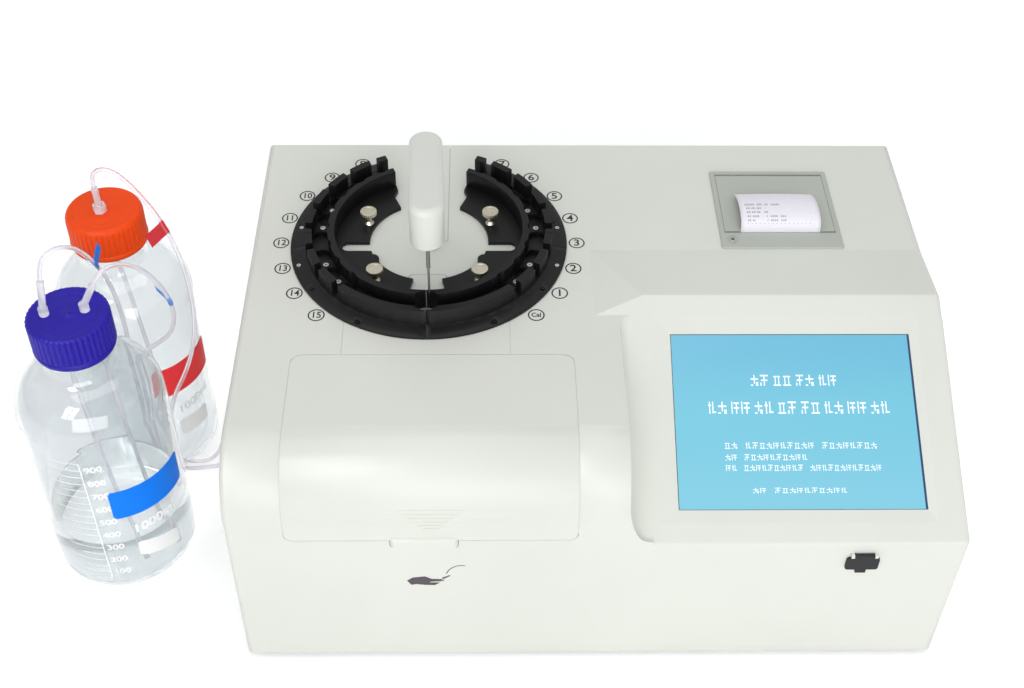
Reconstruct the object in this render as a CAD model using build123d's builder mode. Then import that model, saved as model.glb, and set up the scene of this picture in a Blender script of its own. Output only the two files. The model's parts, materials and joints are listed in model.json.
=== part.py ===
from build123d import *
import math
import os

os.makedirs("parts", exist_ok=True)

# A benchtop chemistry analyzer: a white case with a sampling arm over a horseshoe sample rack, a hatch
# over its reaction tub, a sloping touch screen console and a panel printer, with its two reagent
# bottles and their tubes beside it. Millimetres. X runs to the right, Y to the back, Z up, and the
# origin lies on the bench under the middle of the case.

# ---------------------------------------------------------------- driving dimensions

# Case
case_width = 476.0
case_depth = 333.0
case_height = 186.0
foot_height = 4.0
foot_radius = 9.0
foot_inset = 28.0
shell_wall = 3.0
front_round = 45.0  # rounding between the front and the deck
side_round = 4.0
seam_gap = 0.4  # visible seam round a removable plate or the hatch
fit_gap = 0.2  # slip clearance between pieces that are only laid together
running_gap = 0.05  # radial clearance of a turning shaft

# Sloping console
console_left = 17.0
console_tilt = 24.1
console_length = 173.1  # up the slope, to the crest
crest_rise = 6.08  # of the crest over the deck
console_low_corner = 17.0
console_high_corner = 25.0
console_fillet = 6.0
crest_to_printer = 0.94  # level deck between the crest's wedge and the printer
crest_margin = 1.42  # of the crest's run-out over the crest
console_edge_round = 3.0
crest_run_out = 16.0  # from the console's left side to where the crest's end meets the deck

# Touch screen, in the middle of the console's length
screen_width = 162.0
screen_length = 122.0
screen_x = 132.3
screen_lowered = 0.2  # below the middle of what the bevels leave free
bevel_left = 12.7
bevel_right = 6.0
bevel_low = 8.8
bevel_high = 13.7
bevel_depth = 1.2
glass_thickness = 1.1
glass_lap = 3.5
display_margin = 8.0
display_thickness = 8.0

# Hatch over the reaction tub
hatch_left = -200.5
hatch_width = 185.5
hatch_rear = -59.5
hatch_low = 131.0
hatch_wall = 2.5
hatch_rear_corner = 9.0
hatch_corner_relief = 2.0  # the opening's rear corners are sharper, so that the hatch can swing up
hatch_low_corner = 5.0
grip_x = -112.3
grip_width = 43.0
grip_drop = 7.5
grip_corner = 2.5
hinge_behind = 7.0  # hinge axis behind the seam
hinge_below = 7.0  # and below the deck
hinge_pin_radius = 1.5
knuckle_radius = 3.2
hinge_arm_width = 6.0
hinge_arm_inset = 21.0  # from the hatch's end to the middle of the arm
ear_width = 4.0
ear_radius = 3.6
grip_proud = 2.0
rib_count = 6
rib_pitch = 3.08
rib_x = -107.7
rib_low = 12.0  # from the hatch's low edge to the first rib
rib_shortest = 10.0
rib_longest = 41.0
rib_width = 0.9
rib_proud = 0.3

# Sample rack, a horseshoe round the arm's shaft
rack_x = -113.0
rack_y = 52.3
flange_radius = 97.8
flange_edge = 2.0
flange_rise = 3.6
outer_wall_radius = 87.3
outer_wall_inner = 82.0
inner_wall_outer = 71.0
inner_wall_radius = 66.2
rack_height = 16.0
channel_floor = 5.0
pocket_circle = 76.5
pocket_radius = 6.3
pocket_mouth_radius = 6.8
pocket_floor = 1.2
position_pitch = 15.0  # degrees from one position to the next
positions_a_side = 8
first_position = -45.0  # degrees, the calibrator's
slot_width = 6.3
horseshoe_end = 67.0  # degrees
rack_seam = -5.0  # degrees, between front and rear segments
seam_half = 0.1
well_radius = 9.5
rack_plate_thickness = 3.0
rack_plate_inner = 42.0
plate_lobe = (38.0, -20.0)  # round lobe on the plate's inner edge, from the shaft
plate_lobe_radius = 6.0
plate_bay = (39.0, -20.0)  # bay in that lobe
plate_bay_radius = 4.5
plate_front_edge = ((11.0, -45.2), (17.0, -70.0))  # from the shaft
plate_rear_edge = ((28.0, 70.0), (24.3, 55.5), (26.8, 48.8), (20.9, 34.9))
plate_slot = (56.6, -7.1)  # inner end of the slot for a finger
plate_slot_radius = 4.8
thumb_head_radius = 5.8
thumb_head_height = 2.6
thumb_top = 13.5
thumb_neck_radius = 2.2
thumb_foot_radius = 3.8
thumb_foot_height = 2.0
thumb_thread_radius = 2.0
thumb_thread_length = 9.0
rear_thumb = (43.5, 19.0)  # from the shaft, mirrored to the left
front_thumb = (36.0, -42.0)

# Deck plates
plate_strip = 26.0
tongue_thickness = 2.0
tongue_reach = 3.0
insert_left = -168.0
insert_right = -57.0
insert_rear = -20.0
port_front = -40.0
port_rear = 18.5
rear_strip_front = 53.5
strip_corner = 3.0
well_depth = 28.0
well_wall = 1.5

# Sampling arm
arm_half_width = 11.2
arm_bottom = 69.2  # over the deck
arm_top_front = 101.6
arm_top_rear = 90.0
arm_edge_round = 4.5
arm_wall = 1.8
arm_bearing = -88.0  # degrees, as it is parked
arm_plate = 2.6
arm_cheek_length = 68.0
arm_cheek_height = 11.0
arm_cheek_gap = 0.15
arm_cheek_root = 1.0  # inside the cover's wall, where it joins the beam
needle_radius = 0.75
needle_sleeve_radius = 1.3
needle_sleeve_length = 24.0
needle_tip = 9.0  # over the deck
shaft_radius = 8.0
shaft_flat = 6.8
shaft_socket = 10.0
journal_radius = 5.0

# Arm drive under the deck
frame_plate_top = 153.0
frame_plate = 3.0
frame_post_y = 66.0  # from the shaft
rail_width = 10.0
rail_depth = 6.0
hub_journal_radius = 14.0
hub_pulley_radius = 24.0
pulley_height = 14.0
pulley_flange = 1.5
motor_pulley_radius = 8.0
belt_thickness = 1.4
motor_size = 42.0
motor_length = 34.0
motor_shaft_radius = 2.5
motor_shaft_depth = 18.0
turn_motor_offset = -56.0
screw_offset = 42.0
screw_radius = 4.0
screw_journal = 3.0
carriage_height = 13.0
carriage_bottom = 55.0
carriage_half = 16.0

# Printer
printer_x = 139.0
printer_y = 89.2
printer_size = 87.5
printer_body = 83.0
printer_depth = 48.0
printer_flange = 1.5
printer_wall = 1.5
axle_gap = 0.5
platen_pin_radius = 1.0
printer_panel = 3.5  # thickness of the fixed panel in front of the door
slot_front = 62.0
door_width = 79.5
door_front = 63.6
door_rear = 129.0
door_thickness = 2.2
door_barrel = 2.7
door_pin_radius = 1.2
platen_radius = 4.0
platen_drop = 7.5  # below the door's top
platen_ear = 2.0
roll_radius = 19.0
roll_y = 92.0
roll_axle_radius = 3.0
paper_width = 57.4
paper_thickness = 0.3
paper_y = 62.8
paper_below = 6.0  # where the strip starts, below the printer's top
paper_path = ((0.0, 3.5), (9.0, 9.2), (26.0, 8.8), (40.0, 2.4))  # behind the slot and over the top
paper_bends = (4.0, 10.0, 14.0)
button_radius = 2.4
button_retainer = 3.4
button_travel = 0.8
button_ring_depth = 0.3
button_ring_width = 0.8
button_x = 103.7
button_y = 54.1

# USB port on the front
usb_x = 171.0
usb_z = 107.0
usb_width = 15.0
usb_height = 8.0
usb_depth = 15.0
usb_cover_width = 21.5
usb_cover_height = 13.0
usb_cover_thickness = 1.6
usb_tab = 3.4
usb_barrel = 1.6
usb_pin_radius = 0.7
usb_barrel_length = 13.0
usb_ear = 2.0

# Reaction tub under the hatch
tub_wall = 2.0
tub_floor = 96.0
tub_left = -206.0
tub_right = -10.0
tub_back = -44.0
block_x = -105.0
block_y = -104.0
block_size = 46.0
block_height = 34.0
cell_radius = 8.0
cell_depth = 26.0
electrode_radius = 4.0
electrode_length = 30.0
electrode_seat = 12.0
electrode_circle = 15.0
stir_radius = 1.6
stir_length = 10.0
pump_x = -165.0
pump_y = -104.0
pump_radius = 19.0
pump_height = 24.0
pump_bore = 15.0
rotor_roller = 3.5
rotor_circle = 9.0
rotor_shaft = 3.0

# Tray, rear panel and electrics
tray_thickness = 2.0
tray_rim = 12.0
panel_thickness = 2.0
vent_count = 9
vent_length = 42.0
vent_width = 3.0
vent_pitch = 8.0
vent_x = -60.0
vent_z = 60.0
inlet_x = 150.0
inlet_z = 40.0
inlet_width = 27.5
inlet_height = 20.0
inlet_depth = 20.0
rocker_x = 176.0
rocker_width = 13.0
rocker_radius = 11.0
rocker_axis_in = 5.0  # pivot behind the pressed face
rocker_tilt = 24.0
rocker_pin = 1.5
module_height = 27.0
module_flange = 2.0
supply_length = 110.0
supply_width = 70.0
supply_height = 36.0
board_length = 160.0
board_width = 110.0
board_thickness = 1.6
standoff = 6.0
supply_x = 150.0
supply_to_back = 31.5
board_x = 110.0
board_to_front = 36.5

# Hose fittings in the left side
fitting_height = 22.0
fitting_first = 28.5
fitting_pitch = 10.0
fitting_count = 3
fitting_stem = 3.0
fitting_flange = 4.6
fitting_reach = 8.0

# Bottles, 1 litre, with their caps and tubes
bottle_radius = 49.7
bottle_wall = 2.8
shoulder_height = 152.0
shoulder_round = 34.0
collar_round = 10.0
neck_radius = 21.0
neck_length = 32.75  # over the collar
bottle_foot_round = 12.0
cap_radius = 26.8
cap_height = 26.0
cap_top = 4.0
cap_ribs = 44
cap_rib_depth = 0.6
cap_bead = 5.0
buffer_x = -338.0
buffer_y = -62.0
waste_x = -334.5
waste_y = 41.5
tube_radius = 1.5
sleeve_radius = 2.3
fitting_foot = 4.0
fitting_collar = 3.2

# ---------------------------------------------------------------- derived places

deck = foot_height + case_height
glass_front = shell_wall - glass_thickness  # below the console's face
printer_top = deck + printer_flange
hinge_y = hatch_rear + hinge_behind
hinge_z = deck - hinge_below
left = -case_width / 2
right = case_width / 2
front = -case_depth / 2
back = case_depth / 2
tilt = math.radians(console_tilt)
console_front_height = deck + crest_rise - console_length * math.sin(tilt)
crest_y = front + console_length * math.cos(tilt)
crest_fall = printer_y - printer_size / 2 - crest_to_printer - crest_y  # from the crest to the level deck
screen_up_slope = (console_length + bevel_low - bevel_high) / 2 - screen_lowered
supply_y = back - supply_to_back - supply_width / 2
board_y = front + board_to_front + board_width / 2
shoulder_across = bottle_radius - shoulder_round - neck_radius - collar_round
shoulder_rise = math.sqrt((shoulder_round + collar_round) ** 2 - shoulder_across**2)
neck_top = shoulder_height + shoulder_rise + neck_length
bottle_top = neck_top + cap_top


def on_console(x, up, above=0.0):
    """A plane parallel to the console's face: x across, up the slope, and above the face."""
    origin = (
        x,
        front + up * math.cos(tilt) - above * math.sin(tilt),
        console_front_height + up * math.sin(tilt) + above * math.cos(tilt),
    )
    return Plane(origin=origin, x_dir=(1, 0, 0), z_dir=(0, -math.sin(tilt), math.cos(tilt)))


def around_rack(radius, degrees):
    """A point at a radius and bearing from the rack's centre."""
    angle = math.radians(degrees)
    return (rack_x + radius * math.cos(angle), rack_y + radius * math.sin(angle))


# ---------------------------------------------------------------- case outline


def case_body(inset):
    """The case's outside as a solid, or the same form moved inwards."""
    overrun = 5.0 if inset else 0.0  # the hollow is open below and behind
    low = foot_height - overrun
    high = deck - inset
    near = front + inset
    far = back + overrun
    radius = front_round - inset
    half = case_width / 2 - inset
    with BuildPart() as body:
        with BuildSketch(Plane.YZ):
            with BuildLine():
                Line((near, low), (near, high - radius))
                RadiusArc((near, high - radius), (near + radius, high), radius)
                Line((near + radius, high), (far, high))
                Line((far, high), (far, low))
                Line((far, low), (near, low))
            make_face()
        extrude(amount=half, both=True)
        # crest of the console, a low wedge that falls back to the deck
        crest_z = deck + crest_rise - inset
        run_in = 26.0
        crest_left = console_left - crest_run_out
        with BuildSketch(Plane.YZ.offset(crest_left)):
            with BuildLine():
                Polyline(
                    (crest_y - run_in, crest_z - run_in * math.tan(tilt) - 1),
                    (crest_y - run_in, crest_z - run_in * math.tan(tilt)),
                    (crest_y, crest_z),
                    (crest_y + crest_fall, high),
                    (crest_y + crest_fall, high - 6),
                    (crest_y - run_in, crest_z - run_in * math.tan(tilt) - 1),
                )
            make_face()
        extrude(amount=half - crest_left)
        # the crest's left end runs out in a slope
        with BuildSketch(Plane.XZ.offset(-crest_y - crest_fall)):
            with BuildLine():
                Polyline(
                    (crest_left, high),
                    (console_left + console_high_corner, high + crest_rise + crest_margin),
                    (console_left + console_high_corner, high + 20),
                    (crest_left, high + 20),
                    (crest_left, high),
                )
            make_face()
        extrude(amount=crest_fall + run_in, mode=Mode.SUBTRACT)
        upright = body.edges().filter_by(Axis.X, reverse=True).filter_by(
            lambda e: abs(abs(e.center().X) - half) < 0.01
            and e.center().Z > low + 2
            and e.center().Y < far - 1
        )
        fillet(upright, side_round)
    return body.part


def console_pocket(grow):
    """The space over the console's face, rounded at its left corners and along the foot of its wall."""
    low_corner = console_low_corner + grow
    high_corner = console_high_corner + grow
    edge = console_left - grow
    top = console_length + grow
    far = right + 20
    pocket_reach = 120.0
    with BuildPart() as pocket:
        with BuildSketch(on_console(0, 0, -grow)):
            with BuildLine():
                Line((edge + low_corner, -40), (edge + low_corner, -grow))
                RadiusArc((edge + low_corner, -grow), (edge, low_corner - grow), low_corner)
                Line((edge, low_corner - grow), (edge, top - high_corner))
                RadiusArc((edge, top - high_corner), (edge + high_corner, top), high_corner)
                Line((edge + high_corner, top), (edge + high_corner, top + 30))
                Polyline(
                    (edge + high_corner, top + 30), (far, top + 30), (far, -40), (edge + low_corner, -40)
                )
            make_face()
        extrude(amount=pocket_reach)
        # hollow rounding where the floor meets the wall
        downwards = Vector(0, math.sin(tilt), -math.cos(tilt))
        floor = pocket.faces().filter_by(lambda face: face.normal_at().dot(downwards) > 0.999)
        foot = floor[0].edges().filter_by(
            lambda line: line.center().X < edge + high_corner - 1 and line.center().Y > front - 5
        )
        fillet(foot, console_fillet + grow)
    return pocket.part


def case_form(inset):
    """The case with the console sunk into it, or the same form moved inwards."""
    with BuildPart() as form:
        add(case_body(inset))
        add(console_pocket(inset), mode=Mode.SUBTRACT)
    return form.part


def soft_case_form():
    """The case's outside, with the console's long edges rounded over the front and along the crest."""
    with BuildPart() as form:
        add(case_form(0))
        long_edges = form.edges().filter_by(lambda edge: edge.length > console_length / 2)
        over_front = long_edges.filter_by(
            lambda edge: abs(edge.center().Y - front) < 1 and abs(edge.center().Z - console_front_height) < 1
        )
        ridge = long_edges.filter_by(
            lambda edge: abs(edge.center().Y - crest_y) < 1 and edge.center().Z > deck + 1
        )
        fillet(over_front + ridge, console_edge_round)
    return form.part


def hatch_zone(grow, rear_corner):
    """The block of space that the hatch takes out of the case's skin, with its rounded corners."""
    width = hatch_width + 2 * grow
    low = hatch_low - grow
    with BuildPart() as zone:
        with BuildSketch(Plane.XY.offset(low)):
            with Locations((hatch_left + hatch_width / 2, (front - 20 + hatch_rear + grow) / 2)):
                Rectangle(width, hatch_rear + grow - front + 20)
        extrude(amount=deck + 20 - low)
        fillet(zone.edges().filter_by(Axis.Z).group_by(Axis.Y)[-1], rear_corner)
        fillet(zone.edges().filter_by(Axis.Y).group_by(Axis.Z)[0], hatch_low_corner + grow)
        with BuildSketch(Plane.XZ.offset(-front + 20)):
            with Locations((grip_x, hatch_low - grip_drop / 2 + 1)):
                RectangleRounded(grip_width + 2 * grow, grip_drop + 2 + 2 * grow, grip_corner)
        extrude(amount=-40)
    return zone.part


def deck_plate(x0, x1, y0, y1, grow, rear_corners, front_corners):
    """A plate-shaped block through the deck's skin, grown by a seam where it is a hole."""
    with BuildPart() as plate:
        with BuildSketch(Plane.XY.offset(deck - shell_wall - grow)):
            with Locations(((x0 + x1) / 2, (y0 + y1) / 2)):
                Rectangle(x1 - x0 + 2 * grow, y1 - y0 + 2 * grow)
        extrude(amount=shell_wall + 2 * grow)
        upright = plate.edges().filter_by(Axis.Z)
        if rear_corners:
            fillet(upright.group_by(Axis.Y)[-1], strip_corner)
        if front_corners:
            fillet(upright.group_by(Axis.Y)[0], strip_corner)
    return plate.part


def insert_block(grow):
    return deck_plate(insert_left, insert_right, hatch_rear + seam_gap, insert_rear, grow, True, False)


def port_block(grow):
    half = plate_strip / 2
    return deck_plate(rack_x - half, rack_x + half, port_front, port_rear, grow, True, True)


def strip_block(grow):
    half = plate_strip / 2
    return deck_plate(rack_x - half, rack_x + half, rear_strip_front, back, grow, False, True)


def rectangle_between(x0, x1, y0, y1, mode=Mode.ADD):
    """A rectangle given by its sides, in the current sketch."""
    with Locations(((x0 + x1) / 2, (y0 + y1) / 2)):
        Rectangle(x1 - x0, y1 - y0, mode=mode)


outer_form = soft_case_form()
hollow_form = case_form(shell_wall)
hatch_form = case_body(hatch_wall)
inside_left = left + shell_wall
inside_right = right - shell_wall
inside_front = front + shell_wall
tray_top = foot_height + tray_thickness
hatch_right = hatch_left + hatch_width
hinge_arms = (hatch_left + hinge_arm_inset, hatch_right - hinge_arm_inset)
thumb_places = [
    (rack_x + side * x, rack_y + y) for x, y in (rear_thumb, front_thumb) for side in (1, -1)
]
fittings = [(fitting_first + fitting_pitch * n, fitting_height) for n in range(fitting_count)]
usb_axis_y = front - usb_barrel - 0.1
usb_axis_z = usb_z + usb_cover_height / 2 + 1.4
module_left = inlet_x - inlet_width / 2 - 1
module_right = rocker_x + rocker_width / 2 + 2
module_low = inlet_z - module_height / 2 + 1.5
module_high = inlet_z + module_height / 2 - 1.5
rocker_y = back + module_flange + 0.5 - rocker_axis_in

# ---------------------------------------------------------------- case

with BuildPart() as housing_shell:
    add(outer_form)
    add(hollow_form, mode=Mode.SUBTRACT)
    add(hatch_zone(seam_gap, hatch_rear_corner - hatch_corner_relief), mode=Mode.SUBTRACT)
    add(insert_block(seam_gap), mode=Mode.SUBTRACT)
    add(port_block(seam_gap), mode=Mode.SUBTRACT)
    add(strip_block(seam_gap), mode=Mode.SUBTRACT)
    # shaft and thumbscrew holes in the deck
    with BuildSketch(Plane.XY.offset(deck + 1)):
        with Locations((rack_x, rack_y)):
            Circle(shaft_radius + 1.0)
        with Locations(*thumb_places):
            Circle(thumb_thread_radius + running_gap)
    extrude(amount=-(shell_wall + 2), mode=Mode.SUBTRACT)
    # printer opening
    with BuildSketch(Plane.XY.offset(deck + 1)):
        with Locations((printer_x, printer_y)):
            Rectangle(printer_body + 2 * fit_gap, printer_body + 2 * fit_gap)
    extrude(amount=-(shell_wall + 2), mode=Mode.SUBTRACT)
    # bevelled window, and the rebate that the glass is bonded into
    with BuildSketch(on_console(screen_x, screen_up_slope)):
        rectangle_between(
            -screen_width / 2 - bevel_left,
            screen_width / 2 + bevel_right,
            -screen_length / 2 - bevel_low,
            screen_length / 2 + bevel_high,
        )
    with BuildSketch(on_console(screen_x, screen_up_slope, -bevel_depth)):
        Rectangle(screen_width, screen_length)
    loft(mode=Mode.SUBTRACT)
    with BuildSketch(on_console(screen_x, screen_up_slope, 1)):
        Rectangle(screen_width, screen_length)
    extrude(amount=-(shell_wall + 3), mode=Mode.SUBTRACT)
    with BuildSketch(on_console(screen_x, screen_up_slope, -glass_front)):
        Rectangle(screen_width + 2 * (glass_lap + fit_gap), screen_length + 2 * (glass_lap + fit_gap))
    extrude(amount=-(shell_wall + 2), mode=Mode.SUBTRACT)
    # USB opening in the front, with the two ears of its cover's hinge
    with BuildSketch(Plane.XZ.offset(-front + 1)):
        with Locations((usb_x, usb_z)):
            RectangleRounded(usb_width, usb_height, 1.0)
    extrude(amount=-(shell_wall + 2), mode=Mode.SUBTRACT)
    for side in (-1, 1):
        with BuildSketch(Plane.YZ.offset(usb_x + side * (usb_barrel_length / 2 + usb_ear / 2 + 0.1))):
            with Locations((usb_axis_y, usb_axis_z)):
                Circle(usb_barrel)
            rectangle_between(usb_axis_y, front + 1, usb_axis_z - usb_barrel, usb_axis_z + usb_barrel)
            with Locations((usb_axis_y, usb_axis_z)):
                Circle(usb_pin_radius + running_gap, mode=Mode.SUBTRACT)
        extrude(amount=usb_ear / 2, both=True)
    # hose fitting holes in the left side
    with BuildSketch(Plane.YZ.offset(left - 1)):
        with Locations(*fittings):
            Circle(fitting_stem)
    extrude(amount=shell_wall + 2, mode=Mode.SUBTRACT)
housing_shell.part.label = "housing_shell"
export_step(housing_shell.part, "parts/housing_shell.step")

with BuildPart() as base_tray:
    with BuildSketch(Plane.XY.offset(foot_height)):
        rectangle_between(inside_left, inside_right, inside_front, back)
    extrude(amount=tray_thickness)
    fillet(base_tray.edges().filter_by(Axis.Z).group_by(Axis.Y)[0], side_round + 1)
    with BuildSketch(Plane.XY.offset(tray_top)):
        rectangle_between(inside_left, inside_right, inside_front, back - panel_thickness)
        fillet(vertices().group_by(Axis.Y)[0], side_round + 1)
        offset(amount=-tray_thickness, mode=Mode.SUBTRACT)
    extrude(amount=tray_rim)
base_tray.part.label = "base_tray"
export_step(base_tray.part, "parts/base_tray.step")

with BuildPart() as rubber_feet:
    with BuildSketch(Plane.XY):
        with GridLocations(case_width - 2 * foot_inset, case_depth - 2 * foot_inset, 2, 2):
            Circle(foot_radius)
    extrude(amount=foot_height)
    chamfer(rubber_feet.edges().group_by(Axis.Z)[0], 0.8)
rubber_feet.part.label = "rubber_feet"
export_step(rubber_feet.part, "parts/rubber_feet.step")

with BuildPart() as rear_panel:
    with BuildSketch(Plane.XZ.offset(-back)):
        rectangle_between(inside_left, inside_right, tray_top, deck - shell_wall)
        fillet(vertices().group_by(Axis.Z)[-1], side_round)
        rectangle_between(module_left, module_right, module_low, module_high, Mode.SUBTRACT)
        with Locations((vent_x, vent_z), (vent_x, vent_z + vent_length + 2 * vent_width)):
            with GridLocations(vent_pitch, 0, vent_count, 1):
                SlotOverall(vent_length, vent_width, rotation=90, mode=Mode.SUBTRACT)
    extrude(amount=panel_thickness)
rear_panel.part.label = "rear_panel"
export_step(rear_panel.part, "parts/rear_panel.step")

with BuildPart() as deck_insert:
    add(insert_block(0))
    add(port_block(seam_gap), mode=Mode.SUBTRACT)
    with BuildSketch(Plane.XY.offset(deck - shell_wall)):
        for side in (-1, 1):
            x0 = rack_x + side * (plate_strip / 2 + 3 * tongue_reach)
            x1 = insert_right - strip_corner if side > 0 else insert_left + strip_corner
            ledge_front = insert_rear - 2 * tongue_reach
            rectangle_between(min(x0, x1), max(x0, x1), ledge_front, insert_rear + tongue_reach)
    extrude(amount=-tongue_thickness)
deck_insert.part.label = "deck_insert"
export_step(deck_insert.part, "parts/deck_insert.step")

with BuildPart() as port_plate:
    add(port_block(0))
    with BuildSketch(Plane.XY.offset(deck - shell_wall)):
        half = plate_strip / 2 + tongue_reach
        rectangle_between(rack_x - half, rack_x + half, insert_rear + 2 * tongue_reach, port_rear - 3)
    extrude(amount=-tongue_thickness)
    with BuildSketch(Plane.XY.offset(deck - shell_wall)):
        with Locations((rack_x, rack_y - pocket_circle)):
            Circle(well_radius + well_wall)
    extrude(amount=-(well_depth + well_wall - shell_wall))
    with BuildSketch(Plane.XY.offset(deck + 1)):
        with Locations((rack_x, rack_y - pocket_circle)):
            Circle(well_radius)
    extrude(amount=-(well_depth + 1), mode=Mode.SUBTRACT)
port_plate.part.label = "port_plate"
export_step(port_plate.part, "parts/port_plate.step")

with BuildPart() as arm_rear_plate:
    add(strip_block(0))
    add(case_body(0), mode=Mode.INTERSECT)
    with BuildSketch(Plane.XY.offset(deck - shell_wall)):
        half = plate_strip / 2 + tongue_reach
        rectangle_between(rack_x - half, rack_x + half, rear_strip_front + 5, back - panel_thickness - 2)
    extrude(amount=-tongue_thickness)
    # notch round the shaft
    with BuildSketch(Plane.XY.offset(deck + 1)):
        with Locations((rack_x, rack_y)):
            Circle(shaft_radius + 1.0)
    extrude(amount=-(shell_wall + tongue_thickness + 2), mode=Mode.SUBTRACT)
arm_rear_plate.part.label = "arm_rear_plate"
export_step(arm_rear_plate.part, "parts/arm_rear_plate.step")

# ---------------------------------------------------------------- hatch

def hatch_ribs():
    """The fan of ribs over the grip, standing the same height over the lid's round front."""
    with BuildPart() as ribs:
        for n in range(rib_count):
            with BuildSketch(Plane.XZ.offset(-front + 1)):
                with Locations((rib_x, hatch_low + rib_low + rib_pitch * n)):
                    length = rib_shortest + (rib_longest - rib_shortest) * n / (rib_count - 1)
                    Rectangle(length, rib_width)
            extrude(amount=-(1 + hatch_wall))
        add(case_body(-rib_proud), mode=Mode.INTERSECT)
    return ribs.part


with BuildPart() as lid:
    add(outer_form)
    add(hatch_form, mode=Mode.SUBTRACT)
    add(hatch_zone(0, hatch_rear_corner), mode=Mode.INTERSECT)
    # grip: a proud lip along the lower edge, and a fan of ribs above it
    with BuildSketch(Plane.XZ.offset(-front + grip_proud)):
        with Locations((grip_x, hatch_low - grip_drop / 2 + 1)):
            RectangleRounded(grip_width, grip_drop + 2, grip_corner)
    extrude(amount=-(grip_proud + hatch_wall))
    chamfer(lid.edges().filter_by(Axis.X).group_by(Axis.Y)[0].sort_by(Axis.Z)[-1], grip_proud - 0.2)
    add(hatch_ribs())
    # undercut of the rear edge
    with BuildSketch(Plane.YZ.offset(hatch_left - 1)):
        with BuildLine():
            Polyline(
                (hatch_rear, deck),
                (hatch_rear + 1, deck),
                (hatch_rear + 1, deck - 2 * hatch_wall),
                (hatch_rear - 2 * hatch_wall, deck - 2 * hatch_wall),
                (hatch_rear, deck),
            )
        make_face()
    extrude(amount=hatch_width + 2, mode=Mode.SUBTRACT)
    # two gooseneck arms that reach round the deck's edge to the pin
    for x in hinge_arms:
        with BuildSketch(Plane.YZ.offset(x)):
            with BuildLine():
                Polyline(
                    (hinge_y, hinge_z - knuckle_radius + 0.2),
                    (hinge_y - 3.2, hinge_z - 7.2),
                    (hinge_y - 8.2, hinge_z - 9.8),
                    (hinge_y - 14.4, hinge_z - 6.6),
                    (hinge_y - 15.6, hinge_z + hinge_below - hatch_wall / 2),
                    (hinge_y - 12.6, hinge_z + hinge_below - hatch_wall / 2),
                    (hinge_y - 11.8, hinge_z - 5.2),
                    (hinge_y - 8.0, hinge_z - 7.2),
                    (hinge_y - 5.6, hinge_z - 5.6),
                    (hinge_y - knuckle_radius + 0.3, hinge_z),
                    (hinge_y, hinge_z - knuckle_radius + 0.2),
                )
            make_face()
            with Locations((hinge_y, hinge_z)):
                Circle(knuckle_radius)
                Circle(hinge_pin_radius + running_gap, mode=Mode.SUBTRACT)
        extrude(amount=hinge_arm_width / 2, both=True)
lid.part.label = "lid"
export_step(lid.part, "parts/lid.step")

pin_end = hinge_arm_width / 2 + 0.5 + ear_width

with BuildPart() as lid_hinge_pin:
    with BuildSketch(Plane.YZ.offset(hinge_arms[0] - pin_end)):
        with Locations((hinge_y, hinge_z)):
            Circle(hinge_pin_radius)
    extrude(amount=hinge_arms[1] - hinge_arms[0] + 2 * pin_end)
lid_hinge_pin.part.label = "lid_hinge_pin"
export_step(lid_hinge_pin.part, "parts/lid_hinge_pin.step")

# ---------------------------------------------------------------- reaction tub

tub_rest = tub_floor + tub_wall

with BuildPart() as chamber_tray:
    with BuildSketch(Plane.XY.offset(tub_floor)):
        rectangle_between(tub_left, tub_right, front, tub_back)
    extrude(amount=deck - tub_floor)
    add(hollow_form, mode=Mode.INTERSECT)
    with BuildSketch(Plane.XY.offset(tub_rest)):
        rectangle_between(
            tub_left + tub_wall,
            tub_right - tub_wall,
            inside_front + tub_wall,
            tub_back - tub_wall,
        )
    extrude(amount=case_height, mode=Mode.SUBTRACT)
    with BuildSketch(Plane.XY.offset(hatch_low - seam_gap)):
        rectangle_between(hatch_left - seam_gap, hatch_right + seam_gap, front, inside_front + tub_wall + 1)
    extrude(amount=case_height, mode=Mode.SUBTRACT)
    # ears that hold the hinge pin on both sides of each arm
    for x in hinge_arms:
        for side in (-1, 1):
            middle = x + side * (hinge_arm_width / 2 + 0.5 + ear_width / 2)
            with BuildSketch(Plane.YZ.offset(middle)):
                with Locations((hinge_y, hinge_z)):
                    Circle(ear_radius)
                ear_rear = tub_back - tub_wall / 2
                rectangle_between(hinge_y, ear_rear, hinge_z - ear_radius, hinge_z + ear_radius)
                with Locations((hinge_y, hinge_z)):
                    Circle(hinge_pin_radius, mode=Mode.SUBTRACT)
            extrude(amount=ear_width / 2, both=True)
chamber_tray.part.label = "chamber_tray"
export_step(chamber_tray.part, "parts/chamber_tray.step")

block_top = tub_rest + block_height

with BuildPart() as reaction_block:
    with BuildSketch(Plane.XY.offset(tub_rest)):
        with Locations((block_x, block_y)):
            RectangleRounded(block_size, block_size, 4)
    extrude(amount=block_height)
    with BuildSketch(Plane.XY.offset(block_top)):
        with Locations((block_x, block_y)):
            Circle(cell_radius)
    extrude(amount=-cell_depth, mode=Mode.SUBTRACT)
    with BuildSketch(Plane.XY.offset(block_top)):
        with Locations((block_x, block_y)):
            with PolarLocations(electrode_circle, 3, start_angle=90):
                Circle(electrode_radius + running_gap)
    extrude(amount=-electrode_seat, mode=Mode.SUBTRACT)
reaction_block.part.label = "reaction_block"
export_step(reaction_block.part, "parts/reaction_block.step")

with BuildPart() as electrodes:
    with BuildSketch(Plane.XY.offset(block_top - electrode_seat)):
        with Locations((block_x, block_y)):
            with PolarLocations(electrode_circle, 3, start_angle=90):
                Circle(electrode_radius)
    extrude(amount=electrode_length)
    fillet(electrodes.edges().group_by(Axis.Z)[-1], 1.0)
electrodes.part.label = "electrodes"
export_step(electrodes.part, "parts/electrodes.step")

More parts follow.
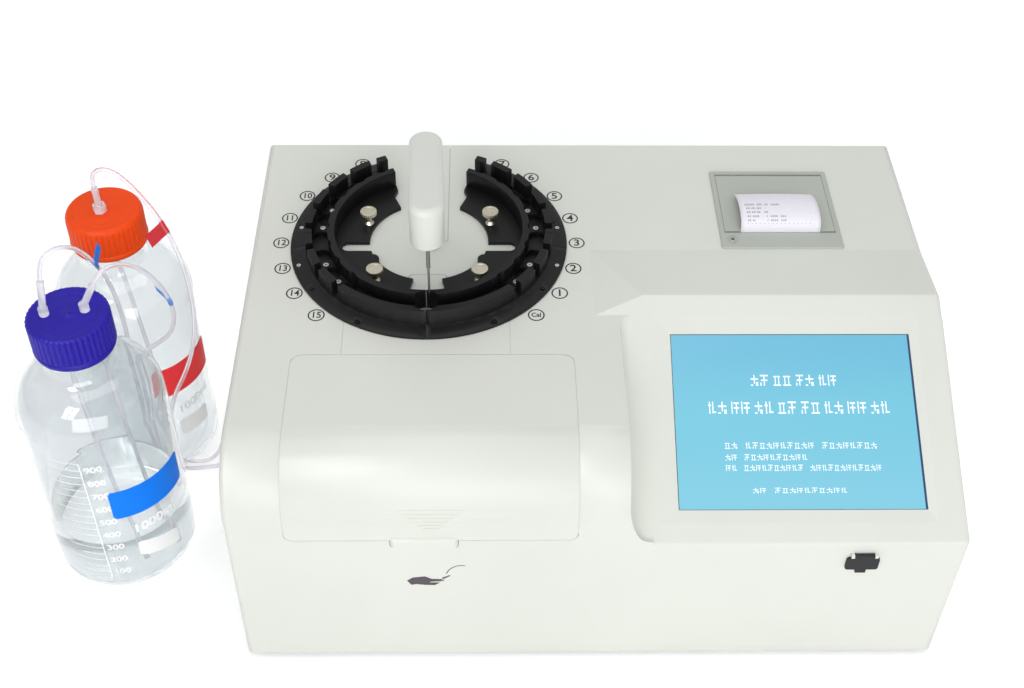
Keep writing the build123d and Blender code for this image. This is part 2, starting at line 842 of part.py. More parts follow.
with BuildPart() as stir_bar:
    with BuildSketch(Plane.YZ.offset(block_x)):
        with Locations((block_y, block_top - cell_depth + stir_radius + fit_gap)):
            Circle(stir_radius)
    extrude(amount=stir_length / 2, both=True)
    fillet(stir_bar.edges(), stir_radius * 0.6)
stir_bar.part.label = "stir_bar"
export_step(stir_bar.part, "parts/stir_bar.step")

with BuildPart() as pump_body:
    with BuildSketch(Plane.XY.offset(tub_rest)):
        with Locations((pump_x, pump_y)):
            Circle(pump_radius)
            Rectangle(2 * pump_radius + 12, 14)
    extrude(amount=pump_height)
    with BuildSketch(Plane.XY.offset(tub_rest + pump_height)):
        with Locations((pump_x, pump_y)):
            Circle(pump_bore)
    extrude(amount=-(pump_height - 8), mode=Mode.SUBTRACT)
    with BuildSketch(Plane.XY.offset(tub_rest + 8)):
        with Locations((pump_x, pump_y)):
            Circle(rotor_shaft + running_gap)
    extrude(amount=-5, mode=Mode.SUBTRACT)
pump_body.part.label = "pump_body"
export_step(pump_body.part, "parts/pump_body.step")

with BuildPart() as pump_rotor:
    with BuildSketch(Plane.XY.offset(tub_rest + 3.5)):
        with Locations((pump_x, pump_y)):
            Circle(rotor_shaft)
    extrude(amount=pump_height - 2)
    with BuildSketch(Plane.XY.offset(tub_rest + 9)):
        with Locations((pump_x, pump_y)):
            Circle(rotor_circle)
            with PolarLocations(rotor_circle, 3):
                Circle(rotor_roller)
    extrude(amount=pump_height - 12)
pump_rotor.part.label = "pump_rotor"
export_step(pump_rotor.part, "parts/pump_rotor.step")

# ---------------------------------------------------------------- touch screen

with BuildPart() as touch_glass:
    with BuildSketch(on_console(screen_x, screen_up_slope, -glass_front)):
        Rectangle(screen_width + 2 * glass_lap, screen_length + 2 * glass_lap)
    extrude(amount=-glass_thickness)
touch_glass.part.label = "touch_glass"
export_step(touch_glass.part, "parts/touch_glass.step")

with BuildPart() as lcd_module:
    with BuildSketch(on_console(screen_x, screen_up_slope, -shell_wall)):
        Rectangle(screen_width + 2 * display_margin, screen_length + 2 * display_margin)
    extrude(amount=-display_thickness)
lcd_module.part.label = "lcd_module"
export_step(lcd_module.part, "parts/lcd_module.step")

# ---------------------------------------------------------------- printer

printer_low = deck - printer_depth
cavity_half = printer_body / 2 - printer_wall
cavity_rear = printer_y + cavity_half
door_axis_y = door_rear - door_barrel
door_axis_z = printer_top - door_barrel
platen_y = paper_y + paper_thickness / 2 + 0.1 + platen_radius
platen_z = printer_top - platen_drop
roll_z = printer_low + printer_wall + roll_radius + 0.5
ear_x = paper_width / 2 + 1.0 + platen_ear / 2

with BuildPart() as printer_frame:
    with BuildSketch(Plane.XY.offset(deck)):
        with Locations((printer_x, printer_y)):
            RectangleRounded(printer_size, printer_size, 2.0)
    extrude(amount=printer_flange)
    chamfer(printer_frame.edges().group_by(Axis.Z)[-1], 0.6)
    with BuildSketch(Plane.XY.offset(printer_low)):
        with Locations((printer_x, printer_y)):
            Rectangle(printer_body, printer_body)
    extrude(amount=printer_depth)
    # hollow, open above the door, with a thick fixed panel in front of it
    with BuildSketch(Plane.XY.offset(printer_low + printer_wall)):
        with Locations((printer_x, printer_y)):
            Rectangle(2 * cavity_half, 2 * cavity_half)
    extrude(amount=printer_depth + printer_flange - printer_wall - printer_panel, mode=Mode.SUBTRACT)
    with BuildSketch(Plane.XY.offset(printer_top + 1)):
        rectangle_between(printer_x - cavity_half, printer_x + cavity_half, slot_front, cavity_rear)
    extrude(amount=-(printer_panel + 2), mode=Mode.SUBTRACT)
    # bearings of the door's pins and of the roll's axle
    with BuildSketch(Plane.YZ.offset(printer_x)):
        with Locations((door_axis_y, door_axis_z)):
            Circle(door_pin_radius + running_gap)
        with Locations((roll_y, roll_z)):
            Circle(roll_axle_radius + running_gap)
    extrude(amount=cavity_half + printer_wall - 0.3, both=True, mode=Mode.SUBTRACT)
    # shallow ring round the feed button, and the button's hole
    with BuildSketch(Plane.XY.offset(printer_top - button_ring_depth)):
        with Locations((button_x, button_y)):
            Circle(button_retainer + button_ring_width)
    extrude(amount=1, mode=Mode.SUBTRACT)
    with BuildSketch(Plane.XY.offset(printer_top + 1)):
        with Locations((button_x, button_y)):
            Circle(button_radius + running_gap)
    extrude(amount=-(printer_panel + 2), mode=Mode.SUBTRACT)
printer_frame.part.label = "printer_frame"
export_step(printer_frame.part, "parts/printer_frame.step")

with BuildPart() as printer_door:
    with BuildSketch(Plane.YZ.offset(printer_x)):
        rectangle_between(door_front, door_axis_y, printer_top - door_thickness, printer_top)
        with Locations((door_axis_y, door_axis_z)):
            Circle(door_barrel)
    extrude(amount=door_width / 2, both=True)
    with BuildSketch(Plane.YZ.offset(printer_x)):
        with Locations((door_axis_y, door_axis_z)):
            Circle(door_pin_radius)
    extrude(amount=cavity_half + printer_wall - axle_gap, both=True)
    # ears that carry the platen
    for side in (-1, 1):
        with BuildSketch(Plane.YZ.offset(printer_x + side * ear_x)):
            with Locations((platen_y, platen_z)):
                Circle(platen_radius - 1.2)
            rectangle_between(
                platen_y - platen_radius + 1.2, platen_y + platen_radius - 1.2, platen_z, printer_top - 1
            )
            with Locations((platen_y, platen_z)):
                Circle(platen_pin_radius + running_gap, mode=Mode.SUBTRACT)
        extrude(amount=platen_ear / 2, both=True)
printer_door.part.label = "printer_door"
export_step(printer_door.part, "parts/printer_door.step")

with BuildPart() as platen_roller:
    with BuildSketch(Plane.YZ.offset(printer_x)):
        with Locations((platen_y, platen_z)):
            Circle(platen_radius)
    extrude(amount=paper_width / 2, both=True)
    with BuildSketch(Plane.YZ.offset(printer_x)):
        with Locations((platen_y, platen_z)):
            Circle(platen_pin_radius)
    extrude(amount=ear_x + platen_ear / 2, both=True)
platen_roller.part.label = "platen_roller"
export_step(platen_roller.part, "parts/platen_roller.step")

with BuildPart() as paper_roll:
    with BuildSketch(Plane.YZ.offset(printer_x)):
        with Locations((roll_y, roll_z)):
            Circle(roll_radius)
    extrude(amount=paper_width / 2, both=True)
    with BuildSketch(Plane.YZ.offset(printer_x)):
        with Locations((roll_y, roll_z)):
            Circle(roll_axle_radius)
    extrude(amount=cavity_half + printer_wall - axle_gap, both=True)
paper_roll.part.label = "paper_roll"
export_step(paper_roll.part, "parts/paper_roll.step")

with BuildPart() as paper_strip:
    with BuildSketch(Plane.YZ.offset(printer_x)):
        with BuildLine():
            FilletPolyline(
                (paper_y, printer_top - paper_below),
                *[(paper_y + y, printer_top + z) for y, z in paper_path],
                radius=paper_bends,
            )
            offset(amount=paper_thickness / 2)
        make_face()
    extrude(amount=paper_width / 2, both=True)
paper_strip.part.label = "paper_strip"
export_step(paper_strip.part, "parts/paper_strip.step")

with BuildPart() as feed_button:
    panel_low = printer_top - printer_panel
    with BuildSketch(Plane.XY.offset(panel_low - 1.5)):
        with Locations((button_x, button_y)):
            Circle(button_retainer)
    extrude(amount=1.5)
    with BuildSketch(Plane.XY.offset(panel_low)):
        with Locations((button_x, button_y)):
            Circle(button_radius)
    extrude(amount=printer_panel - button_ring_depth + button_travel + 0.1)
    fillet(feed_button.edges().group_by(Axis.Z)[-1], 0.5)
feed_button.part.label = "feed_button"
export_step(feed_button.part, "parts/feed_button.step")

# ---------------------------------------------------------------- USB port

with BuildPart() as usb_socket:
    with BuildSketch(Plane.XZ.offset(-inside_front)):
        with Locations((usb_x, usb_z)):
            Rectangle(usb_width + 6, usb_height + 6)
    extrude(amount=-2)
    with BuildSketch(Plane.XZ.offset(-front - 1)):
        with Locations((usb_x, usb_z)):
            RectangleRounded(usb_width - 2 * fit_gap, usb_height - 2 * fit_gap, 0.8)
    extrude(amount=-usb_depth)
    with BuildSketch(Plane.XZ.offset(-front)):
        with Locations((usb_x, usb_z)):
            Rectangle(usb_width - 3, usb_height - 3)
    extrude(amount=-(usb_depth - 2), mode=Mode.SUBTRACT)
    with BuildSketch(Plane.XZ.offset(-front - 3)):
        with Locations((usb_x, usb_z + 1)):
            Rectangle(usb_width - 5, 1.2)
    extrude(amount=-(usb_depth - 3))
usb_socket.part.label = "usb_socket"
export_step(usb_socket.part, "parts/usb_socket.step")

with BuildPart() as usb_cover:
    cover_back = front - 0.1
    cover_low = usb_z - usb_cover_height / 2
    with BuildSketch(Plane.XZ.offset(-cover_back)):
        with Locations((usb_x, usb_z - 0.6)):
            RectangleRounded(usb_cover_width, usb_cover_height - 1.2, 2.0)
        rectangle_between(usb_x - usb_tab, usb_x + usb_tab, cover_low - usb_tab, usb_z)
        rectangle_between(usb_x - usb_barrel_length / 2, usb_x + usb_barrel_length / 2, usb_z, usb_axis_z)
    extrude(amount=usb_cover_thickness)
    with BuildSketch(Plane.YZ.offset(usb_x)):
        with Locations((usb_axis_y, usb_axis_z)):
            Circle(usb_barrel)
    extrude(amount=usb_barrel_length / 2, both=True)
    with BuildSketch(Plane.YZ.offset(usb_x)):
        with Locations((usb_axis_y, usb_axis_z)):
            Circle(usb_pin_radius)
    extrude(amount=usb_barrel_length / 2 + usb_ear, both=True)
usb_cover.part.label = "usb_cover"
export_step(usb_cover.part, "parts/usb_cover.step")

# ---------------------------------------------------------------- sample rack


def radial_plane(degrees, height=0.0):
    """An upright plane through the rack's centre: x outwards at a bearing, y up from the deck."""
    angle = math.radians(degrees)
    return Plane(
        origin=(rack_x, rack_y, deck + height),
        x_dir=(math.cos(angle), math.sin(angle), 0),
        z_dir=(math.sin(angle), -math.cos(angle), 0),
    )


def side_bearing(side, degrees):
    """A bearing given for the right half, or its mirror image in the left half."""
    return degrees if side > 0 else 180 - degrees


rack_axis = Axis((rack_x, rack_y, deck), (0, 0, 1))
seam_angle = math.degrees(seam_half / pocket_circle)
pocket_bearings = [first_position + position_pitch * n for n in range(positions_a_side)]
flange_screw_radius = 1.5
flange_screw_room = 0.1
flange_screws = [(92.3, 8), (94.0, -17), (91.0, 13), (93.7, -32.5), (94.9, -61)]
channel_screws = [(pocket_circle, bearing) for bearing in (7.5, 22.5, -22.5, -37.5, 52.5)]


def rack_form(start, end):
    """The rack's section turned from one bearing to another, before its pockets are cut."""
    with BuildPart() as form:
        with BuildSketch(radial_plane(start + seam_angle)):
            with BuildLine():
                Polyline(
                    (inner_wall_radius, 0),
                    (flange_radius, 0),
                    (flange_radius, flange_edge),
                    (outer_wall_radius, flange_rise),
                    (outer_wall_radius, rack_height),
                    (outer_wall_inner, rack_height),
                    (outer_wall_inner, channel_floor),
                    (inner_wall_outer, channel_floor),
                    (inner_wall_outer, rack_height),
                    (inner_wall_radius, rack_height),
                    (inner_wall_radius, 0),
                )
            make_face()
        revolve(axis=rack_axis, revolution_arc=end - start - 2 * seam_angle)
    return form.part


def rack_segment(side, low, high):
    """One of the rack's four pieces, on the right (1) or left (-1), between two bearings."""
    start, end = sorted((side_bearing(side, low), side_bearing(side, high)))
    with BuildPart() as segment:
        add(rack_form(start, end))
        for bearing in pocket_bearings:
            centre = around_rack(pocket_circle, side_bearing(side, bearing))
            with BuildSketch(Plane.XY.offset(deck + pocket_floor)):
                with Locations(centre):
                    Circle(pocket_radius)
            extrude(amount=rack_height, mode=Mode.SUBTRACT)
            with BuildSketch(Plane.XY.offset(deck + channel_floor - 0.6)):
                with Locations(centre):
                    Circle(pocket_mouth_radius)
            extrude(amount=rack_height, mode=Mode.SUBTRACT)
            # gap in the outer wall that shows the tube
            middle = (outer_wall_inner + outer_wall_radius) / 2
            with BuildSketch(Plane.XY.offset(deck + channel_floor)):
                with Locations(around_rack(middle, side_bearing(side, bearing))):
                    Rectangle(
                        outer_wall_radius - outer_wall_inner + 6,
                        slot_width,
                        rotation=side_bearing(side, bearing),
                    )
            extrude(amount=rack_height, mode=Mode.SUBTRACT)
        # wash well's hole at the front, shared by both front pieces
        with BuildSketch(Plane.XY.offset(deck - 1)):
            with Locations((rack_x, rack_y - pocket_circle)):
                Circle(well_radius)
        extrude(amount=rack_height + 2, mode=Mode.SUBTRACT)
        # spot faces under the screws' heads
        with BuildSketch(Plane.XY.offset(deck + flange_edge - 0.8)):
            for radius, bearing in flange_screws:
                with Locations(around_rack(radius, side_bearing(side, bearing))):
                    Circle(flange_screw_radius + flange_screw_room)
        extrude(amount=4, mode=Mode.SUBTRACT)
        with BuildSketch(Plane.XY.offset(deck + channel_floor - 1.5)):
            for radius, bearing in channel_screws:
                with Locations(around_rack(radius, side_bearing(side, bearing))):
                    Circle(2.0)
        extrude(amount=4, mode=Mode.SUBTRACT)
    return segment.part


with BuildPart() as rack_front_right:
    add(rack_segment(1, -90, rack_seam))
rack_front_right.part.label = "rack_front_right"
export_step(rack_front_right.part, "parts/rack_front_right.step")

with BuildPart() as rack_rear_right:
    add(rack_segment(1, rack_seam, horseshoe_end))
rack_rear_right.part.label = "rack_rear_right"
export_step(rack_rear_right.part, "parts/rack_rear_right.step")

with BuildPart() as rack_front_left:
    add(rack_segment(-1, -90, rack_seam))
rack_front_left.part.label = "rack_front_left"
export_step(rack_front_left.part, "parts/rack_front_left.step")

with BuildPart() as rack_rear_left:
    add(rack_segment(-1, rack_seam, horseshoe_end))
rack_rear_left.part.label = "rack_rear_left"
export_step(rack_rear_left.part, "parts/rack_rear_left.step")


def rack_plate(side):
    """The flat plate inside the horseshoe, on the right (1) or left (-1)."""
    reach = inner_wall_radius - seam_half

    def place(point):
        return (rack_x + side * point[0], rack_y + point[1])

    with BuildPart() as plate:
        with BuildSketch(Plane.XY.offset(deck)):
            with Locations((rack_x, rack_y)):
                Circle(reach)
            with Locations(place(plate_lobe)):
                Circle(plate_lobe_radius)
            with Locations((rack_x, rack_y)):
                Circle(rack_plate_inner, mode=Mode.SUBTRACT)
            with Locations(place(plate_bay)):
                Circle(plate_bay_radius)
            # everything but this side's piece
            past = inner_wall_radius + 4
            away = [place((-past, -past)), place((-past, past))]
            front_edge = [place(point) for point in plate_front_edge]
            rear_edge = [place(point) for point in plate_rear_edge]
            with BuildLine():
                Polyline(*front_edge, *away, *rear_edge, (rack_x, rack_y), front_edge[0])
            make_face(mode=Mode.SUBTRACT)
            # slot open towards the shaft
            with Locations(place(plate_slot)):
                Circle(plate_slot_radius, mode=Mode.SUBTRACT)
            slot_x, slot_y = plate_slot
            with Locations(place((slot_x - 2 * plate_slot_radius, slot_y))):
                Rectangle(4 * plate_slot_radius, 2 * plate_slot_radius, mode=Mode.SUBTRACT)
            with Locations(place(rear_thumb), place(front_thumb)):
                Circle(thumb_thread_radius + running_gap, mode=Mode.SUBTRACT)
        extrude(amount=rack_plate_thickness)
    return plate.part


with BuildPart() as rack_plate_right:
    add(rack_plate(1))
rack_plate_right.part.label = "rack_plate_right"
export_step(rack_plate_right.part, "parts/rack_plate_right.step")

with BuildPart() as rack_plate_left:
    add(rack_plate(-1))
rack_plate_left.part.label = "rack_plate_left"
export_step(rack_plate_left.part, "parts/rack_plate_left.step")

with BuildPart() as rack_screws:
    for side in (1, -1):
        with BuildSketch(Plane.XY.offset(deck + flange_edge - 0.8)):
            for radius, bearing in flange_screws:
                with Locations(around_rack(radius, side_bearing(side, bearing))):
                    Circle(flange_screw_radius)
        extrude(amount=2.2)
        with BuildSketch(Plane.XY.offset(deck + flange_edge + 1.4)):
            for radius, bearing in flange_screws:
                with Locations(around_rack(radius, side_bearing(side, bearing))):
                    Rectangle(flange_screw_radius, 0.5, rotation=bearing)
                    Rectangle(0.5, flange_screw_radius, rotation=bearing)
        extrude(amount=-0.7, mode=Mode.SUBTRACT)
        with BuildSketch(Plane.XY.offset(deck + channel_floor - 1.5)):
            for radius, bearing in channel_screws:
                with Locations(around_rack(radius, side_bearing(side, bearing))):
                    Circle(1.9)
        extrude(amount=2.0)
        with BuildSketch(Plane.XY.offset(deck + channel_floor + 0.5)):
            for radius, bearing in channel_screws:
                with Locations(around_rack(radius, side_bearing(side, bearing))):
                    RegularPolygon(1.0, 6)
        extrude(amount=-1.2, mode=Mode.SUBTRACT)
rack_screws.part.label = "rack_screws"
export_step(rack_screws.part, "parts/rack_screws.step")


def thumbscrew(place):
    """A knurled screw standing on the rack's plate, with its thread through the deck."""
    base = deck + rack_plate_thickness
    head_low = deck + thumb_top - thumb_head_height
    with BuildPart() as screw:
        with BuildSketch(Plane.XY.offset(base - thumb_thread_length)):
            with Locations(place):
                Circle(thumb_thread_radius)
        extrude(amount=thumb_thread_length)
        with BuildSketch(Plane.XY.offset(base)):
            with Locations(place):
                Circle(thumb_foot_radius)
        with BuildSketch(Plane.XY.offset(base + thumb_foot_height)):
            with Locations(place):
                Circle(thumb_neck_radius)
        loft()
        with BuildSketch(Plane.XY.offset(base + thumb_foot_height)):
            with Locations(place):
                Circle(thumb_neck_radius)
        extrude(amount=head_low - base - thumb_foot_height)
        with BuildSketch(Plane.XY.offset(head_low)):
            with Locations(place):
                Circle(thumb_head_radius)
                with PolarLocations(thumb_head_radius, 24):
                    Circle(0.35, mode=Mode.SUBTRACT)
        extrude(amount=thumb_head_height)
        with BuildSketch(Plane.XY.offset(deck + thumb_top)):
            with Locations(place):
                Circle(thumb_head_radius - 1.6)
        extrude(amount=-0.3, mode=Mode.SUBTRACT)
    return screw.part


for number, place in enumerate(thumb_places, start=1):
    screw = thumbscrew(place)
    screw.label = f"thumbscrew_{number}"
    export_step(screw, f"parts/thumbscrew_{number}.step")

# ---------------------------------------------------------------- sampling arm

arm_low = deck + arm_bottom
carriage_top = carriage_bottom + carriage_height


def along_arm(height):
    """A level plane over the arm's axis: x towards the needle, y to the arm's right."""
    angle = math.radians(arm_bearing)
    along = (math.cos(angle), math.sin(angle), 0)
    return Plane(origin=(rack_x, rack_y, height), x_dir=along, z_dir=(0, 0, 1))


def arm_side_plane():
    """The upright plane through the arm's axis: x towards the needle, y up from the deck."""
    angle = math.radians(arm_bearing)
    return Plane(
        origin=(rack_x, rack_y, deck),
        x_dir=(math.cos(angle), math.sin(angle), 0),
        z_dir=(math.sin(angle), -math.cos(angle), 0),
    )


def arm_outline(grow):
    """The arm's plan, round at both ends."""
    with Locations((0, 0)):
        Circle(arm_half_width + grow)
    with Locations((pocket_circle, 0)):
        Circle(arm_half_width + grow)
    rectangle_between(0, pocket_circle, -arm_half_width - grow, arm_half_width + grow)


def arm_body(inset):
    """The cover's outside, or its hollow, with the top falling towards the rear."""
    rear = -2 * arm_half_width
    tip = pocket_circle + 2 * arm_half_width
    with BuildPart() as body:
        with BuildSketch(along_arm(arm_low)):
            arm_outline(-inset)
        extrude(amount=arm_top_front - arm_bottom)
        with BuildSketch(arm_side_plane()):
            with BuildLine():
                Polyline(
                    (rear, arm_top_rear - inset),
                    (tip, arm_top_front - inset),
                    (tip, arm_top_front + 40),
                    (rear, arm_top_front + 40),
                    (rear, arm_top_rear - inset),
                )
            make_face()
        extrude(amount=2 * arm_half_width, both=True, mode=Mode.SUBTRACT)
        fillet(body.faces().sort_by(Axis.Z)[-1].edges(), arm_edge_round - inset)
    return body.part


def arm_cheek(grow):
    """The beam's cheek, which fills a notch in the cover's right side."""
    with BuildPart() as cheek:
        with BuildSketch(along_arm(arm_low)):
            inner = arm_half_width - arm_wall - arm_cheek_root
            rectangle_between(-grow, arm_cheek_length + grow, inner, arm_half_width)
        extrude(amount=arm_cheek_height + grow)
    return cheek.part


with BuildPart() as arm_cover:
    add(arm_body(0))
    add(arm_body(arm_wall), mode=Mode.SUBTRACT)
    add(arm_cheek(arm_cheek_gap), mode=Mode.SUBTRACT)
arm_cover.part.label = "arm_cover"
export_step(arm_cover.part, "parts/arm_cover.step")

with BuildPart() as arm_beam:
    with BuildSketch(along_arm(arm_low)):
        arm_outline(-arm_wall)
    extrude(amount=arm_plate)
    # cheek along the right side, with its screw
    add(arm_cheek(0))
    # socket over the shaft and guide over the needle
    with BuildSketch(along_arm(arm_low)):
        Circle(arm_half_width - 2 * arm_wall)
        with Locations((pocket_circle, 0)):
            Circle(needle_sleeve_radius + 2.5)
    extrude(amount=shaft_socket)
    with BuildSketch(along_arm(arm_low)):
        Circle(journal_radius + running_gap)
        with Locations((pocket_circle, 0)):
            Circle(needle_sleeve_radius)
    extrude(amount=shaft_socket, mode=Mode.SUBTRACT)
arm_beam.part.label = "arm_beam"
export_step(arm_beam.part, "parts/arm_beam.step")

with BuildPart() as needle:
    with BuildSketch(along_arm(deck + needle_tip)):
        with Locations((pocket_circle, 0)):
            Circle(needle_radius)
    extrude(amount=arm_bottom - needle_tip)
    with BuildSketch(along_arm(arm_low - needle_sleeve_length)):
        with Locations((pocket_circle, 0)):
            Circle(needle_sleeve_radius)
    extrude(amount=needle_sleeve_length + shaft_socket + 3)
needle.part.label = "needle"
export_step(needle.part, "parts/needle.step")


def shaft_section(clearance):
    """The shaft's section with its two flats, in the current sketch."""
    past = shaft_radius + 2
    Circle(shaft_radius + clearance)
    rectangle_between(-past, past, shaft_flat + clearance, past, Mode.SUBTRACT)
    rectangle_between(-past, past, -past, -shaft_flat - clearance, Mode.SUBTRACT)


with BuildPart() as arm_shaft:
    with BuildSketch(along_arm(carriage_top + running_gap)):
        shaft_section(0)
    extrude(amount=arm_low - carriage_top - running_gap)
    with BuildSketch(along_arm(arm_low)):
        Circle(journal_radius)
    extrude(amount=shaft_socket)
    with BuildSketch(along_arm(carriage_bottom - 1)):
        Circle(journal_radius)
    extrude(amount=carriage_height + 1 + running_gap)
arm_shaft.part.label = "arm_shaft"
export_step(arm_shaft.part, "parts/arm_shaft.step")

# ---------------------------------------------------------------- arm drive

turn_motor_x = rack_x + turn_motor_offset
screw_y = rack_y + screw_offset
post_y = rack_y + frame_post_y
plate_low = frame_plate_top - frame_plate
pulley_low = frame_plate_top + 0.1
frame_foot_top = tray_top + frame_plate
rail_front = post_y - rail_depth
frame_left = turn_motor_x - motor_size / 2 - 4
frame_right = rack_x + hub_pulley_radius + 6
lift_motor_top = frame_foot_top + motor_length

with BuildPart() as drive_frame:
    with BuildSketch(Plane.XY.offset(tray_top)):
        rectangle_between(frame_left, frame_right, rack_y - motor_size / 2, post_y + frame_plate)
    extrude(amount=frame_plate)
    with BuildSketch(Plane.XY.offset(tray_top)):
        rectangle_between(frame_left, frame_right, post_y, post_y + frame_plate)
    extrude(amount=frame_plate_top - tray_top)
    with BuildSketch(Plane.XY.offset(plate_low)):
        rectangle_between(frame_left, frame_right, rack_y - motor_size / 2 - 4, post_y + frame_plate)
    extrude(amount=frame_plate)
    # rail of the carriage
    with BuildSketch(Plane.XY.offset(lift_motor_top + 2)):
        rectangle_between(rack_x - rail_width / 2, rack_x + rail_width / 2, rail_front, post_y)
    extrude(amount=plate_low - lift_motor_top - 2)
    # gussets beside the post
    for x in (frame_left, frame_right - frame_plate):
        with BuildSketch(Plane.YZ.offset(x)):
            with BuildLine():
                Polyline(
                    (post_y, tray_top),
                    (post_y - 22, tray_top),
                    (post_y, tray_top + 60),
                    (post_y, tray_top),
                )
            make_face()
        extrude(amount=frame_plate)
    # bores of the hub, the motor's shaft and the screw's upper end
    with BuildSketch(Plane.XY.offset(frame_plate_top + 1)):
        with Locations((rack_x, rack_y)):
            Circle(hub_journal_radius + running_gap)
        with Locations((turn_motor_x, rack_y)):
            Circle(motor_shaft_radius + 1)
        with Locations((rack_x, screw_y)):
            Circle(screw_journal + running_gap)
    extrude(amount=-(frame_plate + 2), mode=Mode.SUBTRACT)
drive_frame.part.label = "drive_frame"
export_step(drive_frame.part, "parts/drive_frame.step")

with BuildPart() as drive_motors:
    with BuildSketch(Plane.XY.offset(plate_low)):
        with Locations((turn_motor_x, rack_y)):
            RectangleRounded(motor_size, motor_size, 5)
            Circle(motor_shaft_radius + running_gap, mode=Mode.SUBTRACT)
    extrude(amount=-motor_length)
    with BuildSketch(Plane.XY.offset(frame_foot_top)):
        with Locations((rack_x, screw_y)):
            RectangleRounded(motor_size, motor_size, 5)
            Circle(motor_shaft_radius + running_gap, mode=Mode.SUBTRACT)
    extrude(amount=motor_length)
drive_motors.part.label = "drive_motors"
export_step(drive_motors.part, "parts/drive_motors.step")

with BuildPart() as turn_hub:
    with BuildSketch(along_arm(plate_low - 1)):
        Circle(hub_journal_radius)
    extrude(amount=pulley_low - plate_low + 1)
    with BuildSketch(along_arm(pulley_low)):
        Circle(hub_pulley_radius)
    extrude(amount=pulley_height)
    with BuildSketch(along_arm(pulley_low)):
        Circle(hub_pulley_radius + belt_thickness + 1)
    extrude(amount=pulley_flange)
    with BuildSketch(along_arm(pulley_low + pulley_height)):
        Circle(hub_pulley_radius + belt_thickness + 1)
    extrude(amount=-pulley_flange)
    with BuildSketch(along_arm(plate_low - 2)):
        shaft_section(running_gap)
    extrude(amount=pulley_height + frame_plate + 4, mode=Mode.SUBTRACT)
turn_hub.part.label = "turn_hub"
export_step(turn_hub.part, "parts/turn_hub.step")

with BuildPart() as motor_pulley:
    with BuildSketch(Plane.XY.offset(pulley_low)):
        with Locations((turn_motor_x, rack_y)):
            Circle(motor_pulley_radius)
    extrude(amount=pulley_height)
    with BuildSketch(Plane.XY.offset(plate_low - motor_shaft_depth)):
        with Locations((turn_motor_x, rack_y)):
            Circle(motor_shaft_radius)
    extrude(amount=motor_shaft_depth + pulley_low - plate_low)
motor_pulley.part.label = "motor_pulley"
export_step(motor_pulley.part, "parts/motor_pulley.step")


def belt_loop(grow, mode=Mode.ADD):
    """The stadium round both pulleys, in the current sketch."""
    wide = hub_pulley_radius + grow
    narrow = motor_pulley_radius + grow
    lean = (wide - narrow) / turn_motor_offset
    across = math.sqrt(1 - lean * lean)
    with Locations((rack_x, rack_y)):
        Circle(wide, mode=mode)
    with Locations((turn_motor_x, rack_y)):
        Circle(narrow, mode=mode)
    Polygon(
        (rack_x + wide * lean, rack_y + wide * across),
        (turn_motor_x + narrow * lean, rack_y + narrow * across),
        (turn_motor_x + narrow * lean, rack_y - narrow * across),
        (rack_x + wide * lean, rack_y - wide * across),
        align=None,
        mode=mode,
    )


with BuildPart() as turn_belt:
    with BuildSketch(Plane.XY.offset(pulley_low + pulley_flange + fit_gap)):
        belt_loop(running_gap + belt_thickness)
        belt_loop(running_gap, Mode.SUBTRACT)
    extrude(amount=pulley_height - 2 * (pulley_flange + fit_gap))
turn_belt.part.label = "turn_belt"
export_step(turn_belt.part, "parts/turn_belt.step")

with BuildPart() as lead_screw:
    with BuildSketch(Plane.XY.offset(lift_motor_top + 0.5)):
        with Locations((rack_x, screw_y)):
            Circle(screw_radius)
    extrude(amount=plate_low - lift_motor_top - 1)
    with BuildSketch(Plane.XY.offset(lift_motor_top - motor_shaft_depth)):
        with Locations((rack_x, screw_y)):
            Circle(motor_shaft_radius)
    extrude(amount=motor_shaft_depth + 1)
    with BuildSketch(Plane.XY.offset(plate_low - 1)):
        with Locations((rack_x, screw_y)):
            Circle(screw_journal)
    extrude(amount=frame_plate)
lead_screw.part.label = "lead_screw"
export_step(lead_screw.part, "parts/lead_screw.step")

with BuildPart() as lift_carriage:
    with BuildSketch(Plane.XY.offset(carriage_bottom)):
        rectangle_between(
            rack_x - carriage_half,
            rack_x + carriage_half,
            rack_y - carriage_half,
            post_y - 0.3,
        )
        fillet(vertices(), 3)
        with Locations((rack_x, rack_y)):
            Circle(journal_radius + running_gap, mode=Mode.SUBTRACT)
        with Locations((rack_x, screw_y)):
            Circle(screw_radius + running_gap, mode=Mode.SUBTRACT)
        rectangle_between(
            rack_x - rail_width / 2 - running_gap,
            rack_x + rail_width / 2 + running_gap,
            rail_front - running_gap,
            post_y,
            Mode.SUBTRACT,
        )
    extrude(amount=carriage_height)
lift_carriage.part.label = "lift_carriage"
export_step(lift_carriage.part, "parts/lift_carriage.step")

# ---------------------------------------------------------------- electrics

with BuildPart() as power_supply:
    with BuildSketch(Plane.XY.offset(tray_top)):
        with Locations((supply_x, supply_y)):
            Rectangle(supply_length, supply_width)
    extrude(amount=supply_height)
    with BuildSketch(Plane.XY.offset(tray_top + supply_height)):
        with Locations((supply_x, supply_y)):
            with GridLocations(6, 0, 12, 1):
                SlotOverall(supply_width - 24, 2.4, rotation=90)
    extrude(amount=-2, mode=Mode.SUBTRACT)
power_supply.part.label = "power_supply"
export_step(power_supply.part, "parts/power_supply.step")

